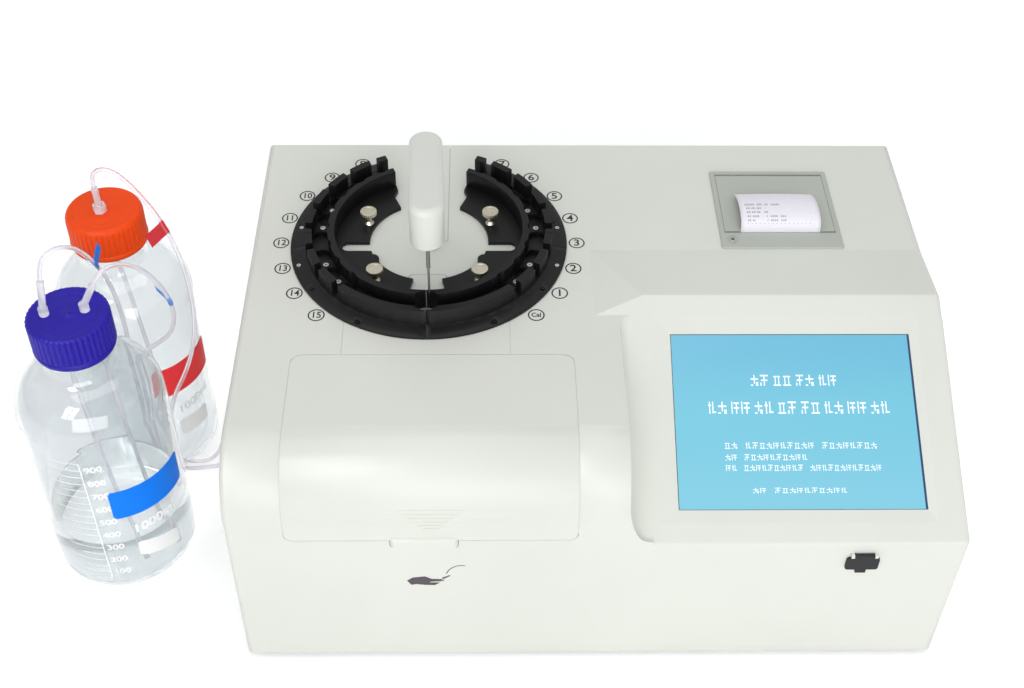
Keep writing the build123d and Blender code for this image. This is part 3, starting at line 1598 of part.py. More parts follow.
with BuildPart() as main_board:
    with BuildSketch(Plane.XY.offset(tray_top)):
        with Locations((board_x, board_y)):
            with GridLocations(board_length - 12, board_width - 12, 2, 2):
                Circle(3)
    extrude(amount=standoff)
    with BuildSketch(Plane.XY.offset(tray_top + standoff)):
        with Locations((board_x, board_y)):
            Rectangle(board_length, board_width)
    extrude(amount=board_thickness)
    with BuildSketch(Plane.XY.offset(tray_top + standoff + board_thickness)):
        with Locations((board_x, board_y)):
            Rectangle(22, 22)
        with Locations((board_x - 50, board_y + 20), (board_x + 48, board_y + 20)):
            Rectangle(30, 12)
        with Locations((board_x, board_y + board_width / 2 - 8)):
            Rectangle(90, 9)
    extrude(amount=7)
main_board.part.label = "main_board"
export_step(main_board.part, "parts/main_board.step")

with BuildPart() as power_inlet:
    module_middle = (module_left + module_right) / 2
    with BuildSketch(Plane.XZ.offset(-back)):
        rectangle_between(
            module_left + fit_gap,
            module_right - fit_gap,
            module_low + fit_gap,
            module_high - fit_gap,
        )
    extrude(amount=inlet_depth)
    with BuildSketch(Plane.XZ.offset(-back)):
        with Locations((module_middle, inlet_z)):
            RectangleRounded(module_right - module_left + 4, module_height + 1, 2)
    extrude(amount=-module_flange)
    # socket with its three blades
    with BuildSketch(Plane.XZ.offset(-back - module_flange - 1)):
        with Locations((inlet_x, inlet_z)):
            RectangleRounded(inlet_width - 5, inlet_height - 4, 3)
    extrude(amount=inlet_depth, mode=Mode.SUBTRACT)
    with BuildSketch(Plane.XZ.offset(-back + 2)):
        with Locations((inlet_x - 7, inlet_z - 2), (inlet_x, inlet_z + 2), (inlet_x + 7, inlet_z - 2)):
            Rectangle(2, 4)
    extrude(amount=inlet_depth - 3)
    # rocker's well, round about its pivot pin
    with BuildSketch(Plane.YZ.offset(rocker_x)):
        with Locations((rocker_y, inlet_z)):
            Circle(rocker_radius + 0.3)
            Circle(rocker_pin, mode=Mode.SUBTRACT)
    extrude(amount=rocker_width / 2 + 0.3, both=True, mode=Mode.SUBTRACT)
power_inlet.part.label = "power_inlet"
export_step(power_inlet.part, "parts/power_inlet.step")

with BuildPart() as power_rocker:
    face = rocker_y + rocker_axis_in
    lean = math.radians(rocker_tilt)
    with BuildSketch(Plane.YZ.offset(rocker_x)):
        with Locations((rocker_y, inlet_z)):
            Circle(rocker_radius)
        with BuildLine():
            Polyline(
                (face, inlet_z),
                (face + 20 * math.sin(lean), inlet_z + 20 * math.cos(lean)),
                (face + 30, inlet_z + 20),
                (face + 30, inlet_z - 30),
                (face, inlet_z - 30),
                (face, inlet_z),
            )
        make_face(mode=Mode.SUBTRACT)
        rectangle_between(rocker_y - 20, rocker_y - 4, inlet_z - 20, inlet_z + 20, Mode.SUBTRACT)
        with Locations((rocker_y, inlet_z)):
            Circle(rocker_pin + running_gap, mode=Mode.SUBTRACT)
    extrude(amount=rocker_width / 2, both=True)
power_rocker.part.label = "power_rocker"
export_step(power_rocker.part, "parts/power_rocker.step")

# ---------------------------------------------------------------- hose fittings

with BuildPart() as hose_fittings:
    for y, z in fittings:
        with BuildSketch(Plane.YZ.offset(left)):
            with Locations((y, z)):
                Circle(fitting_flange)
        extrude(amount=-2)
        with BuildSketch(Plane.YZ.offset(left - fitting_reach)):
            with Locations((y, z)):
                Circle(sleeve_radius)
        extrude(amount=fitting_reach)
        with BuildSketch(Plane.YZ.offset(left - 1)):
            with Locations((y, z)):
                Circle(fitting_stem)
        extrude(amount=shell_wall + 4)
hose_fittings.part.label = "hose_fittings"
export_step(hose_fittings.part, "parts/hose_fittings.step")

# ---------------------------------------------------------------- bottles


def bottle_form(x, y, inset, top):
    """A bottle's outside, or its hollow, turned about its own axis."""
    body = bottle_radius - inset
    neck = neck_radius - inset
    convex = shoulder_round - inset
    concave = collar_round + inset
    share = convex / (convex + concave)
    centre_x = body - convex
    join = (centre_x - share * shoulder_across, shoulder_height + share * shoulder_rise)
    collar = (neck, shoulder_height + shoulder_rise)
    with BuildPart() as form:
        with BuildSketch(Plane(origin=(x, y, 0), x_dir=(1, 0, 0), z_dir=(0, -1, 0))):
            with BuildLine():
                Line((0, inset), (body - bottle_foot_round, inset))
                RadiusArc(
                    (body - bottle_foot_round, inset), (body, inset + bottle_foot_round), -bottle_foot_round
                )
                Line((body, inset + bottle_foot_round), (body, shoulder_height))
                RadiusArc((body, shoulder_height), join, -convex)
                RadiusArc(join, collar, concave)
                Polyline(collar, (neck, top), (0, top), (0, inset))
            make_face()
        revolve(axis=Axis((x, y, 0), (0, 0, 1)))
    return form.part


def bottle(x, y):
    """A glass bottle, open at its neck."""
    with BuildPart() as glass:
        add(bottle_form(x, y, 0, neck_top))
        add(bottle_form(x, y, bottle_wall, neck_top + 5), mode=Mode.SUBTRACT)
    return glass.part


def bottle_cap(x, y):
    """A ribbed screw cap with a plain bead round its lower edge."""
    with BuildPart() as cap:
        with BuildSketch(Plane.XY.offset(bottle_top - cap_height)):
            with Locations((x, y)):
                Circle(cap_radius)
        extrude(amount=cap_height)
        fillet(cap.edges().group_by(Axis.Z)[-1], 2.2)
        with BuildSketch(Plane.XY.offset(bottle_top - cap_height + cap_bead)):
            with Locations((x, y)):
                with PolarLocations(cap_radius, cap_ribs):
                    Rectangle(2 * cap_rib_depth, 1.6, mode=Mode.ADD)
        extrude(amount=cap_height - cap_bead - 2.2, mode=Mode.SUBTRACT)
        with BuildSketch(Plane.XY.offset(bottle_top - cap_height)):
            with Locations((x, y)):
                Circle(neck_radius + fit_gap)
        extrude(amount=cap_height - cap_top, mode=Mode.SUBTRACT)
    return cap.part


with BuildPart() as buffer_bottle:
    add(bottle(buffer_x, buffer_y))
buffer_bottle.part.label = "buffer_bottle"
export_step(buffer_bottle.part, "parts/buffer_bottle.step")

with BuildPart() as waste_bottle:
    add(bottle(waste_x, waste_y))
waste_bottle.part.label = "waste_bottle"
export_step(waste_bottle.part, "parts/waste_bottle.step")

with BuildPart() as buffer_cap:
    add(bottle_cap(buffer_x, buffer_y))
buffer_cap.part.label = "buffer_cap"
export_step(buffer_cap.part, "parts/buffer_cap.step")

with BuildPart() as waste_cap:
    add(bottle_cap(waste_x, waste_y))
waste_cap.part.label = "waste_cap"
export_step(waste_cap.part, "parts/waste_cap.step")

# ---------------------------------------------------------------- tubes

left_buffer_route = [
    (-351.0, -57.3, 253.5),
    (-350.3, -54.3, 264.5),
    (-343.5, -49.6, 272.0),
    (-333.5, -43.0, 270.5),
    (-327.0, -33.0, 254.5),
    (-322.5, -18.0, 222.0),
    (-321.0, -11.0, 184.0),
    (-321.5, -10.5, 140.0),
    (-319.5, -11.5, 92.0),
    (-319.0, -10.0, 52.0),
    (-312.5, -7.0, 28.0),
    (-302.5, -1.0, 15.0),
    (-291.5, 3.6, 8.2),
    (-282.5, 8.5, 8.5),
    (-278.0, 22.0, 11.0),
    (-273.0, 35.0, 16.0),
    (-260.0, 48.5, 22.0),
    (-246.0, 48.5, 22.0),
]
right_buffer_route = [
    (-319.8, -55.3, 248.4),
    (-315.5, -53.5, 256.5),
    (-306.5, -48.0, 259.0),
    (-296.0, -39.0, 250.5),
    (-286.5, -29.0, 228.0),
    (-281.5, -21.0, 196.0),
    (-287.5, -15.5, 168.0),
    (-305.0, -11.5, 149.5),
    (-316.5, -11.2, 143.0),
    (-315.0, -11.5, 118.0),
    (-313.5, -12.0, 75.0),
    (-313.0, -12.5, 36.0),
    (-310.5, -8.0, 14.0),
    (-300.5, -1.2, 6.8),
    (-289.0, -0.4, 6.7),
    (-277.0, 1.8, 6.7),
    (-271.5, 14.0, 9.5),
    (-267.5, 26.0, 15.0),
    (-259.5, 38.5, 22.0),
    (-246.0, 38.5, 22.0),
]
waste_route = [
    (-336.5, 39.5, 250.0),
    (-336.8, 39.5, 260.5),
    (-329.4, 39.0, 267.2),
    (-318.5, 36.5, 265.5),
    (-304.0, 26.5, 257.5),
    (-288.5, 11.5, 246.5),
    (-276.5, -2.0, 228.0),
    (-271.5, -8.5, 196.0),
    (-274.0, -10.5, 160.0),
    (-284.0, -12.0, 128.0),
    (-299.0, -13.5, 98.0),
    (-307.0, -14.5, 62.0),
    (-309.0, -14.0, 34.0),
    (-306.5, -9.5, 17.0),
    (-299.0, -4.2, 9.3),
    (-287.0, -2.2, 9.0),
    (-275.5, -1.0, 9.0),
    (-268.0, 9.5, 12.5),
    (-266.0, 19.0, 17.5),
    (-259.0, 28.5, 22.0),
    (-246.0, 28.5, 22.0),
]


def tube_radii(route):
    """The bend radius at each inner point of a route, as large as its two runs allow."""
    radii = []
    for before, here, after in zip(route, route[1:], route[2:]):
        inward = Vector(*here) - Vector(*before)
        outward = Vector(*after) - Vector(*here)
        shorter = min(inward.length, outward.length)
        turn = math.radians(inward.get_angle(outward))
        radii.append(0.45 * shorter / math.tan(turn / 2))
    return radii


def tube_along(route, name):
    """A flexible tube swept along its route."""
    radii = tube_radii(route)
    start = Vector(*route[0])
    with BuildPart() as tube:
        with BuildLine():
            path = FilletPolyline(*route, radius=radii)
        with BuildSketch(Plane(origin=start, z_dir=Vector(*route[1]) - start)):
            Circle(tube_radius)
        sweep()
    expected = math.pi * tube_radius**2 * path.length
    print(name, "least radius", round(min(radii), 1), "length", round(path.length, 1))
    print(name, "volume share", round(tube.part.volume / expected, 4))
    return tube.part


with BuildPart() as buffer_tube_left:
    add(tube_along(left_buffer_route, "left buffer tube"))
buffer_tube_left.part.label = "buffer_tube_left"
export_step(buffer_tube_left.part, "parts/buffer_tube_left.step")

with BuildPart() as buffer_tube_right:
    add(tube_along(right_buffer_route, "right buffer tube"))
buffer_tube_right.part.label = "buffer_tube_right"
export_step(buffer_tube_right.part, "parts/buffer_tube_right.step")

with BuildPart() as waste_tube:
    add(tube_along(waste_route, "waste tube"))
waste_tube.part.label = "waste_tube"
export_step(waste_tube.part, "parts/waste_tube.step")

# end fittings on the caps: a foot, and a sleeve that leans along the tube's first run
with BuildPart() as cap_fittings:
    for route in (left_buffer_route, right_buffer_route, waste_route):
        end = Vector(*route[0])
        lean = (Vector(*route[1]) - end).normalized()
        foot = end - lean * ((end.Z - bottle_top - fitting_foot) / lean.Z)
        with BuildSketch(Plane.XY.offset(bottle_top)):
            with Locations((foot.X, foot.Y)):
                if route is waste_route:
                    RegularPolygon(fitting_flange, 6)
                else:
                    Circle(fitting_collar)
        extrude(amount=fitting_foot + 1.5)
        with BuildSketch(Plane(origin=end, z_dir=lean)):
            Circle(sleeve_radius)
        extrude(amount=-(end - foot).length)
cap_fittings.part.label = "cap_fittings"
export_step(cap_fittings.part, "parts/cap_fittings.step")
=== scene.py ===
import json
import math

import bpy
from mathutils import Matrix, Vector


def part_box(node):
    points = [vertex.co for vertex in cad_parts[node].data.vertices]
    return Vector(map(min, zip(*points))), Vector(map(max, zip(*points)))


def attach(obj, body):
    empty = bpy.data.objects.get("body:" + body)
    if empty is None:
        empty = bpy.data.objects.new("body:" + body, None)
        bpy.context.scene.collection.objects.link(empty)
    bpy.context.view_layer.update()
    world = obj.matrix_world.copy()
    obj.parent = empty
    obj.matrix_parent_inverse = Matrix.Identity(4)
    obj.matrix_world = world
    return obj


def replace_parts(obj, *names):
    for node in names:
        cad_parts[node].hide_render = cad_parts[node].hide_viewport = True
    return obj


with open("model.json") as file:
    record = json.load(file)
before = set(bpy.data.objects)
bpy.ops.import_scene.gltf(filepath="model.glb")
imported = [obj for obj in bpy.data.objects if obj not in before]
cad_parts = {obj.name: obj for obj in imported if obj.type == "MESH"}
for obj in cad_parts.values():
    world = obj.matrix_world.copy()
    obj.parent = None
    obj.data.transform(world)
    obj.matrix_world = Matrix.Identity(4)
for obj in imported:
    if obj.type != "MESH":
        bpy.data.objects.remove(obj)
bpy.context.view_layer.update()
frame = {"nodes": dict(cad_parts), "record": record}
NODES = frame["nodes"]

# -------- sizes, in metres

DECK = 0.190
FRONT = -0.1665
RACK = Vector((-0.113, 0.0523, DECK))
LABEL_CIRCLE = 0.105
TILT = math.radians(24.1)
CONSOLE_FRONT = 0.1254
SCREEN_X = 0.1323
SCREEN_UP = 0.0839
SCREEN_WIDTH = 0.162
SCREEN_LENGTH = 0.122
GLASS_BELOW = 0.0019
BOTTLE_TOP = 0.230
NECK_TOP = 0.226
BOTTLE_RADIUS = 0.0497
BOTTLE_WALL = 0.0028
NECK_RADIUS = 0.021
FOOT_ROUND = 0.012
SHOULDER_ROUND = 0.034  # the convex arc over the body
NECK_ROUND = 0.010  # the concave arc under the neck
SHOULDER_HEIGHT = 0.152
BUFFER = Vector((-0.338, -0.062, 0.0))
WASTE = Vector((-0.3345, 0.0415, 0.0))
TUBE_RADIUS = 0.0015
SKIN = 0.00006  # how far a printed mark stands off its surface

# -------- camera


def add_object(name, data):
    thing = bpy.data.objects.new(name, data)
    bpy.context.scene.collection.objects.link(thing)
    return thing


def place_camera():
    """The photograph's viewpoint: 45 degrees down, a little from the left."""
    down = math.radians(44.96)
    yaw = math.radians(1.56)
    roll = math.radians(1.04)
    forward = Vector((math.sin(yaw) * math.cos(down), math.cos(yaw) * math.cos(down), -math.sin(down)))
    level = Vector((math.cos(yaw), -math.sin(yaw), 0))
    upward = level.cross(forward)
    right = math.cos(roll) * level + math.sin(roll) * upward
    up = math.cos(roll) * upward - math.sin(roll) * level
    camera = add_object("camera", bpy.data.cameras.new("camera"))
    camera.data.sensor_width = 36.0
    camera.data.lens = 50.74
    camera.data.clip_start = 0.05
    camera.data.clip_end = 30.0
    turn = Matrix((right, up, -forward)).transposed().to_4x4()
    camera.matrix_world = Matrix.Translation((-0.0740, -0.7259, 0.8656)) @ turn
    bpy.context.scene.camera = camera


place_camera()

# -------- material tools


class Surface:
    """A node material, built up in layers over one Principled shader."""

    def __init__(self, name):
        self.material = bpy.data.materials.new(name)
        self.material.use_nodes = True
        self.nodes = self.material.node_tree.nodes
        self.links = self.material.node_tree.links
        self.shader = self.nodes["Principled BSDF"]
        self.place = self.nodes.new("ShaderNodeTexCoord").outputs["Object"]

    def set(self, **values):
        names = {
            "rough": "Roughness", "metal": "Metallic", "ior": "IOR", "clear": "Transmission Weight",
            "coat": "Coat Weight", "coat_rough": "Coat Roughness", "specular": "Specular IOR Level",
            "glow": "Emission Strength",
        }
        for key, value in values.items():
            self.shader.inputs[names[key]].default_value = value
        return self

    def join(self, output, target):
        self.links.new(output, target)

    def math(self, kind, a, b=None):
        node = self.nodes.new("ShaderNodeMath")
        node.operation = kind
        for slot, value in zip(node.inputs, (a, b)):
            if value is None:
                continue
            if isinstance(value, (int, float)):
                slot.default_value = value
            else:
                self.join(value, slot)
        return node.outputs[0]

    def noise(self, scale, detail=3.0, rough=0.5, stretch=None):
        node = self.nodes.new("ShaderNodeTexNoise")
        node.inputs["Scale"].default_value = scale
        node.inputs["Detail"].default_value = detail
        node.inputs["Roughness"].default_value = rough
        place = self.place
        if stretch:
            mapping = self.nodes.new("ShaderNodeMapping")
            mapping.inputs["Scale"].default_value = stretch
            self.join(self.place, mapping.inputs["Vector"])
            place = mapping.outputs[0]
        self.join(place, node.inputs["Vector"])
        return node.outputs["Fac"]

    def cells(self, scale, feature):
        node = self.nodes.new("ShaderNodeTexVoronoi")
        node.feature = feature
        node.inputs["Scale"].default_value = scale
        self.join(self.place, node.inputs["Vector"])
        return node.outputs["Distance"]

    def ramp(self, value, *stops, smooth=False):
        node = self.nodes.new("ShaderNodeValToRGB")
        node.color_ramp.interpolation = "EASE" if smooth else "LINEAR"
        while len(node.color_ramp.elements) < len(stops):
            node.color_ramp.elements.new(0.5)
        for element, (at, colour) in zip(node.color_ramp.elements, stops):
            element.position = at
            element.color = (*colour, 1.0)
        self.join(value, node.inputs["Fac"])
        return node.outputs["Color"]

    def mix(self, share, a, b):
        node = self.nodes.new("ShaderNodeMix")
        node.data_type = "RGBA"
        for slot, value in ((node.inputs[0], share), (node.inputs[6], a), (node.inputs[7], b)):
            if isinstance(value, (int, float)):
                slot.default_value = value
            elif isinstance(value, (tuple, list)):
                slot.default_value = (*value, 1.0)
            else:
                self.join(value, slot)
        return node.outputs[2]

    def colour(self, output):
        if isinstance(output, (tuple, list)):
            self.shader.inputs["Base Color"].default_value = (*output, 1.0)
        else:
            self.join(output, self.shader.inputs["Base Color"])
        return self

    def roughness(self, value, low, high):
        spread = self.nodes.new("ShaderNodeMapRange")
        spread.inputs["To Min"].default_value = low
        spread.inputs["To Max"].default_value = high
        self.join(value, spread.inputs["Value"])
        self.join(spread.outputs[0], self.shader.inputs["Roughness"])
        return self

    def bump(self, *layers):
        """Layers of (height, strength, distance), the finest last."""
        last = None
        for height, strength, distance in layers:
            node = self.nodes.new("ShaderNodeBump")
            node.inputs["Strength"].default_value = strength
            node.inputs["Distance"].default_value = distance
            self.join(height, node.inputs["Height"])
            if last:
                self.join(last, node.inputs["Normal"])
            last = node.outputs[0]
        self.join(last, self.shader.inputs["Normal"])
        return self

    def let_light_through(self, share):
        """Lamp light passes, so that what is behind clear walls isn't in the dark."""
        path = self.nodes.new("ShaderNodeLightPath")
        lost = self.math("MULTIPLY", path.outputs["Is Shadow Ray"], share)
        self.join(self.math("SUBTRACT", 1.0, lost), self.shader.inputs["Alpha"])
        return self

    def axis(self, name):
        node = self.nodes.new("ShaderNodeSeparateXYZ")
        self.join(self.place, node.inputs[0])
        return node.outputs[name]


def linear(text):
    """A screen colour such as "D5D8CF" as the linear values that a shader takes."""
    values = [int(text[i:i + 2], 16) / 255 for i in (0, 2, 4)]
    return tuple(v / 12.92 if v <= 0.04045 else ((v + 0.055) / 1.055) ** 2.4 for v in values)


def shade(colour, factor):
    return tuple(min(1.0, c * factor) for c in colour)


def moulded(name, text, rough, grain, spread=0.025, cloud=6.0, coat=0.0, specular=0.5):
    """Moulded or sprayed plastic: a fine leathery grain, and soft clouds in its colour and gloss."""
    fine = 1400.0
    s = Surface(name)
    base = linear(text)
    clouds = s.noise(cloud, 4.0, 0.55)
    specks = s.noise(fine, 2.0, 0.6)
    tone = s.ramp(clouds, (0.3, shade(base, 1 - spread)), (0.7, shade(base, 1 + spread)), smooth=True)
    tone = s.mix(s.math("MULTIPLY", specks, 0.10), tone, shade(base, 0.86))
    s.colour(tone)
    s.roughness(s.math("ADD", s.math("MULTIPLY", clouds, 0.6), s.math("MULTIPLY", specks, 0.4)),
                rough - 0.08, rough + 0.08)
    s.bump((s.noise(fine * 0.32, 3.0, 0.6), grain, 0.0004), (specks, grain * 0.8, 0.0002))
    s.set(coat=coat, coat_rough=0.25, specular=specular)
    return s.material


def metal(name, text, rough=0.28, brushed=None, wear=0.06):
    """Bare metal with fine brush or turning marks and uneven polish."""
    s = Surface(name)
    base = linear(text)
    marks = s.noise(900.0, 3.0, 0.6, stretch=brushed or (1, 1, 1))
    clouds = s.noise(40.0, 4.0, 0.6)
    s.colour(s.ramp(clouds, (0.3, shade(base, 1 - wear)), (0.75, shade(base, 1 + wear)), smooth=True))
    s.roughness(s.math("ADD", s.math("MULTIPLY", marks, 0.5), s.math("MULTIPLY", clouds, 0.5)),
                rough - 0.10, rough + 0.12)
    s.bump((marks, 0.08, 0.0003))
    s.set(metal=1.0)
    return s.material


def soft_rubber(name, text):
    """Dull rubber with a little dust on it."""
    s = Surface(name)
    base = linear(text)
    dust = s.noise(60.0, 5.0, 0.6)
    s.colour(s.ramp(dust, (0.35, shade(base, 0.9)), (0.7, shade(base, 1.25)), smooth=True))
    s.roughness(dust, 0.62, 0.8)
    s.bump((s.noise(1500.0, 2.0, 0.7), 0.12, 0.0003))
    return s.material


def printed(name, text, rough=0.5, specular=0.5):
    """Screen-printed ink, a little uneven in its cover."""
    s = Surface(name)
    base = linear(text)
    cover = s.noise(700.0, 4.0, 0.7)
    thick = shade(base, 1.08) if max(base) > 0.02 else (0.02, 0.02, 0.02)
    s.colour(s.ramp(cover, (0.35, shade(base, 0.92)), (0.7, thick)))
    s.roughness(cover, rough - 0.1, rough + 0.1)
    s.set(specular=specular)
    return s.material


def coated_paper(name, text):
    """Thermal paper: smooth, with the pulp just showing."""
    s = Surface(name)
    base = linear(text)
    pulp = s.noise(500.0, 5.0, 0.65, stretch=(1, 0.35, 1))
    s.colour(s.ramp(pulp, (0.3, shade(base, 0.965)), (0.7, shade(base, 1.01))))
    s.roughness(pulp, 0.62, 0.78)
    s.bump((pulp, 0.05, 0.0003))
    return s.material


def glass(name, tint):
    """Clear blown glass: faint waves, and a thickness that tints it."""
    s = Surface(name)
    waves = s.noise(14.0, 2.0, 0.5)
    s.colour(s.ramp(waves, (0.3, shade(tint, 0.985)), (0.7, tint)))
    s.set(clear=1.0, ior=1.38, rough=0.0, coat=0.5, coat_rough=0.0)
    s.bump((waves, 0.05, 0.0025))
    s.let_light_through(0.94)
    return s.material


def liquid(name, tint):
    """Clear water-like liquid, faintly hazy."""
    s = Surface(name)
    haze = s.noise(30.0, 2.0, 0.5)
    s.colour(s.ramp(haze, (0.3, shade(tint, 0.99)), (0.7, tint)))
    s.set(clear=1.0, ior=1.24, rough=0.0)
    s.let_light_through(0.96)
    return s.material


def clear_tube(name, text, alpha):
    """Soft translucent tubing: pale, half clear and faintly milky."""
    s = Surface(name)
    base = linear(text)
    milk = s.noise(90.0, 3.0, 0.5)
    s.colour(s.ramp(milk, (0.3, shade(base, 0.95)), (0.7, base)))
    s.roughness(milk, 0.16, 0.3)
    s.set(clear=alpha, ior=1.4)
    s.let_light_through(alpha)
    return s.material


def rack_screw(name, text):
    """Bright screw heads, apart from the blackened ones near the rack's ends."""
    outer_screws = 0.088  # how far from the shaft the outer screws start
    band_middle, band_half = 0.043, 0.0258  # where the outer screws are bright
    s = Surface(name)
    clouds = s.noise(40.0, 4.0, 0.6)
    bright = s.ramp(clouds, (0.3, shade(linear(text), 0.93)), (0.75, linear(text)), smooth=True)
    x, y = s.axis("X"), s.axis("Y")

    def off(value, middle):
        return s.math("ABSOLUTE", s.math("SUBTRACT", value, middle))

    squares = [s.math("POWER", off(*pair), 2.0) for pair in ((x, RACK.x), (y, RACK.y))]
    reach = s.math("SQRT", s.math("ADD", *squares))
    middle = s.math("LESS_THAN", off(y, band_middle), band_half)
    dark = s.math("MULTIPLY", s.math("GREATER_THAN", reach, outer_screws), s.math("SUBTRACT", 1.0, middle))
    s.colour(s.mix(dark, bright, (0.006, 0.006, 0.007)))
    s.join(s.math("SUBTRACT", 1.0, dark), s.shader.inputs["Metallic"])
    s.roughness(clouds, 0.22, 0.40)
    return s.material


def circuit(name):
    """A green circuit board with pale tracks."""
    s = Surface(name)
    tracks = s.cells(260.0, "DISTANCE_TO_EDGE")
    s.colour(s.ramp(tracks, (0.03, linear("3C8F5E")), (0.06, linear("0E5230"))))
    s.set(rough=0.35)
    return s.material

# -------- materials of the record's slots

FLAT_BRUSH = (1, 14, 14)
MATERIALS = {
    "case_white": moulded("case_white", "DADCD4", 0.40, 0.05),
    "steel_dark": moulded("steel_dark", "4A4D50", 0.45, 0.09),
    "rubber_black": soft_rubber("rubber_black", "1B1B1E"),
    "panel_grey": moulded("panel_grey", "C4C6C1", 0.42, 0.08),
    "rack_black": moulded("rack_black", "101012", 0.40, 0.09, 0.10, specular=0.3),
    "screw_steel": rack_screw("screw_steel", "D6D5D0"),
    "thumb_nickel": metal("thumb_nickel", "D8D2BE", 0.34, wear=0.10),
    "arm_white": moulded("arm_white", "D8DAD3", 0.42, 0.04),
    # arm_beige is darkened to the tone of the arm's right side in shade: partly the beam's own beige, partly
    # painted shade
    "arm_beige": moulded("arm_beige", "9C9A8D", 0.45, 0.07),
    "needle_steel": metal("needle_steel", "8E8E8C", 0.25),
    "shaft_steel": metal("shaft_steel", "B4B6B8", 0.22),
    "aluminium": metal("aluminium", "C6C8CB", 0.36, FLAT_BRUSH),
    "belt_black": soft_rubber("belt_black", "19191B"),
    "motor_black": moulded("motor_black", "26272A", 0.40, 0.08, 0.08),
    "brass": metal("brass", "C9A45C", 0.25),
    "printer_grey": moulded("printer_grey", "B2B6AF", 0.42, 0.06),
    "door_grey": moulded("door_grey", "B4B9AF", 0.45, 0.08),
    "paper_white": coated_paper("paper_white", "EDEAF2"),
    "screen_glass": moulded("screen_glass", "2C3B44", 0.10, 0.0, 0.02, coat=1.0),
    "display": moulded("display", "23272B", 0.35, 0.04),
    "button_green": moulded("button_green", "2E6B2A", 0.25, 0.02, 0.15, cloud=260.0),
    "socket_metal": metal("socket_metal", "B9BABC", 0.30),
    "tub_grey": moulded("tub_grey", "B3B5B2", 0.45, 0.08),
    "electrode": moulded("electrode", "55555E", 0.22, 0.02, 0.05, coat=0.6),
    "stir_white": moulded("stir_white", "F0F0EE", 0.22, 0.02),
    "board_green": circuit("board_green"),
    "supply_metal": metal("supply_metal", "B6B8BA", 0.40, FLAT_BRUSH),
    "inlet_black": moulded("inlet_black", "1D1D20", 0.40, 0.09, 0.08),
    "bottle_glass": glass("bottle_glass", (0.865, 0.888, 0.898)),
    "cap_blue": moulded("cap_blue", "2414A0", 0.40, 0.06, 0.06, cloud=30.0, specular=0.25),
    "cap_orange": moulded("cap_orange", "F24A06", 0.46, 0.06, 0.05, cloud=30.0, specular=0.2),
    "fitting_white": clear_tube("fitting_white", "ECEBF0", 0.55),
    "tube_clear": clear_tube("tube_clear", "F1EEF4", 0.80),
}


def dress_nodes():
    """Every CAD node takes its slot's material, and rigid ones a fine rounding on their edges."""
    slots = {row["node"]: row["material_slot"] for row in frame["record"]["subparts"]}
    edges = {
        0.0002: "deck_insert port_plate arm_rear_plate",
        0.00025: "lid",
        0.0003: "housing_shell rear_panel arm_beam printer_frame printer_door "
                "thumbscrew_1 thumbscrew_2 thumbscrew_3 thumbscrew_4",
        0.0004: "arm_cover rack_plate_right rack_plate_left usb_cover chamber_tray reaction_block",
        0.0005: "rack_front_right rack_rear_right rack_front_left rack_rear_left",
    }
    soft_edge = {name: width for width, names in edges.items() for name in names.split()}
    for name, node in NODES.items():
        node.data.materials.clear()
        node.data.materials.append(MATERIALS[slots[name]])
        if name in soft_edge:
            round_edges(node, soft_edge[name])


def round_edges(piece, width):
    """Welds the mesh and rounds its sharp edges, as moulding and machining do."""
    weld = piece.modifiers.new("weld", "WELD")
    weld.merge_threshold = 1e-6
    bevel = piece.modifiers.new("round", "BEVEL")
    bevel.width = width
    bevel.segments = 2
    bevel.limit_method = "ANGLE"
    bevel.angle_limit = math.radians(35)
    bevel.harden_normals = True


dress_nodes()

# -------- shape tools


def piece_of(name, verts, faces, material, body, smooth=True):
    """A mesh piece that rides on a body and takes a slot's finish."""
    mesh = bpy.data.meshes.new(name)
    mesh.from_pydata([tuple(v) for v in verts], [], faces)
    mesh.validate()
    piece = add_object(name, mesh)
    mesh.materials.append(material)
    if smooth:
        mesh.polygons.foreach_set("use_smooth", [True] * len(mesh.polygons))
    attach(piece, body)
    return piece


def revolved(profile, centre, segments, relief=lambda row, n: 0.0):
    """A profile of (radius, height) turned about an upright axis; relief is what stands out of it."""
    verts, faces, rows = [], [], []
    for row, (radius, height) in enumerate(profile):
        if radius < 1e-7:
            rows.append([len(verts)])
            verts.append(centre + Vector((0, 0, height)))
            continue
        start = len(verts)
        rows.append(list(range(start, start + segments)))
        for n in range(segments):
            turn = 2 * math.pi * n / segments
            reach = radius + relief(row, n)
            verts.append(centre + Vector((reach * math.cos(turn), reach * math.sin(turn), height)))
    for low, high in zip(rows, rows[1:]):
        for n in range(segments):
            m = (n + 1) % segments
            if len(low) == 1:
                faces.append((low[0], high[m], high[n]))
            elif len(high) == 1:
                faces.append((low[n], low[m], high[0]))
            else:
                faces.append((low[n], low[m], high[m], high[n]))
    return verts, faces


def lettering(text, size, bold):
    """A word as flat vertices and faces, centred on the origin, with capitals about size high."""
    size_of_capitals = 1.42  # the font's size for capitals of 1
    curve = bpy.data.curves.new("letters", "FONT")
    curve.body = text
    curve.size = size * size_of_capitals
    curve.align_x = "CENTER"
    curve.align_y = "CENTER"
    curve.resolution_u = 4
    curve.offset = bold
    holder = add_object("letters", curve)
    shape = bpy.data.meshes.new_from_object(holder.evaluated_get(bpy.context.evaluated_depsgraph_get()))
    verts = [Vector((v.co.x, v.co.y, 0)) for v in shape.vertices]
    faces = [tuple(p.vertices) for p in shape.polygons]
    bpy.data.objects.remove(holder)
    bpy.data.curves.remove(curve)
    bpy.data.meshes.remove(shape)
    return verts, faces


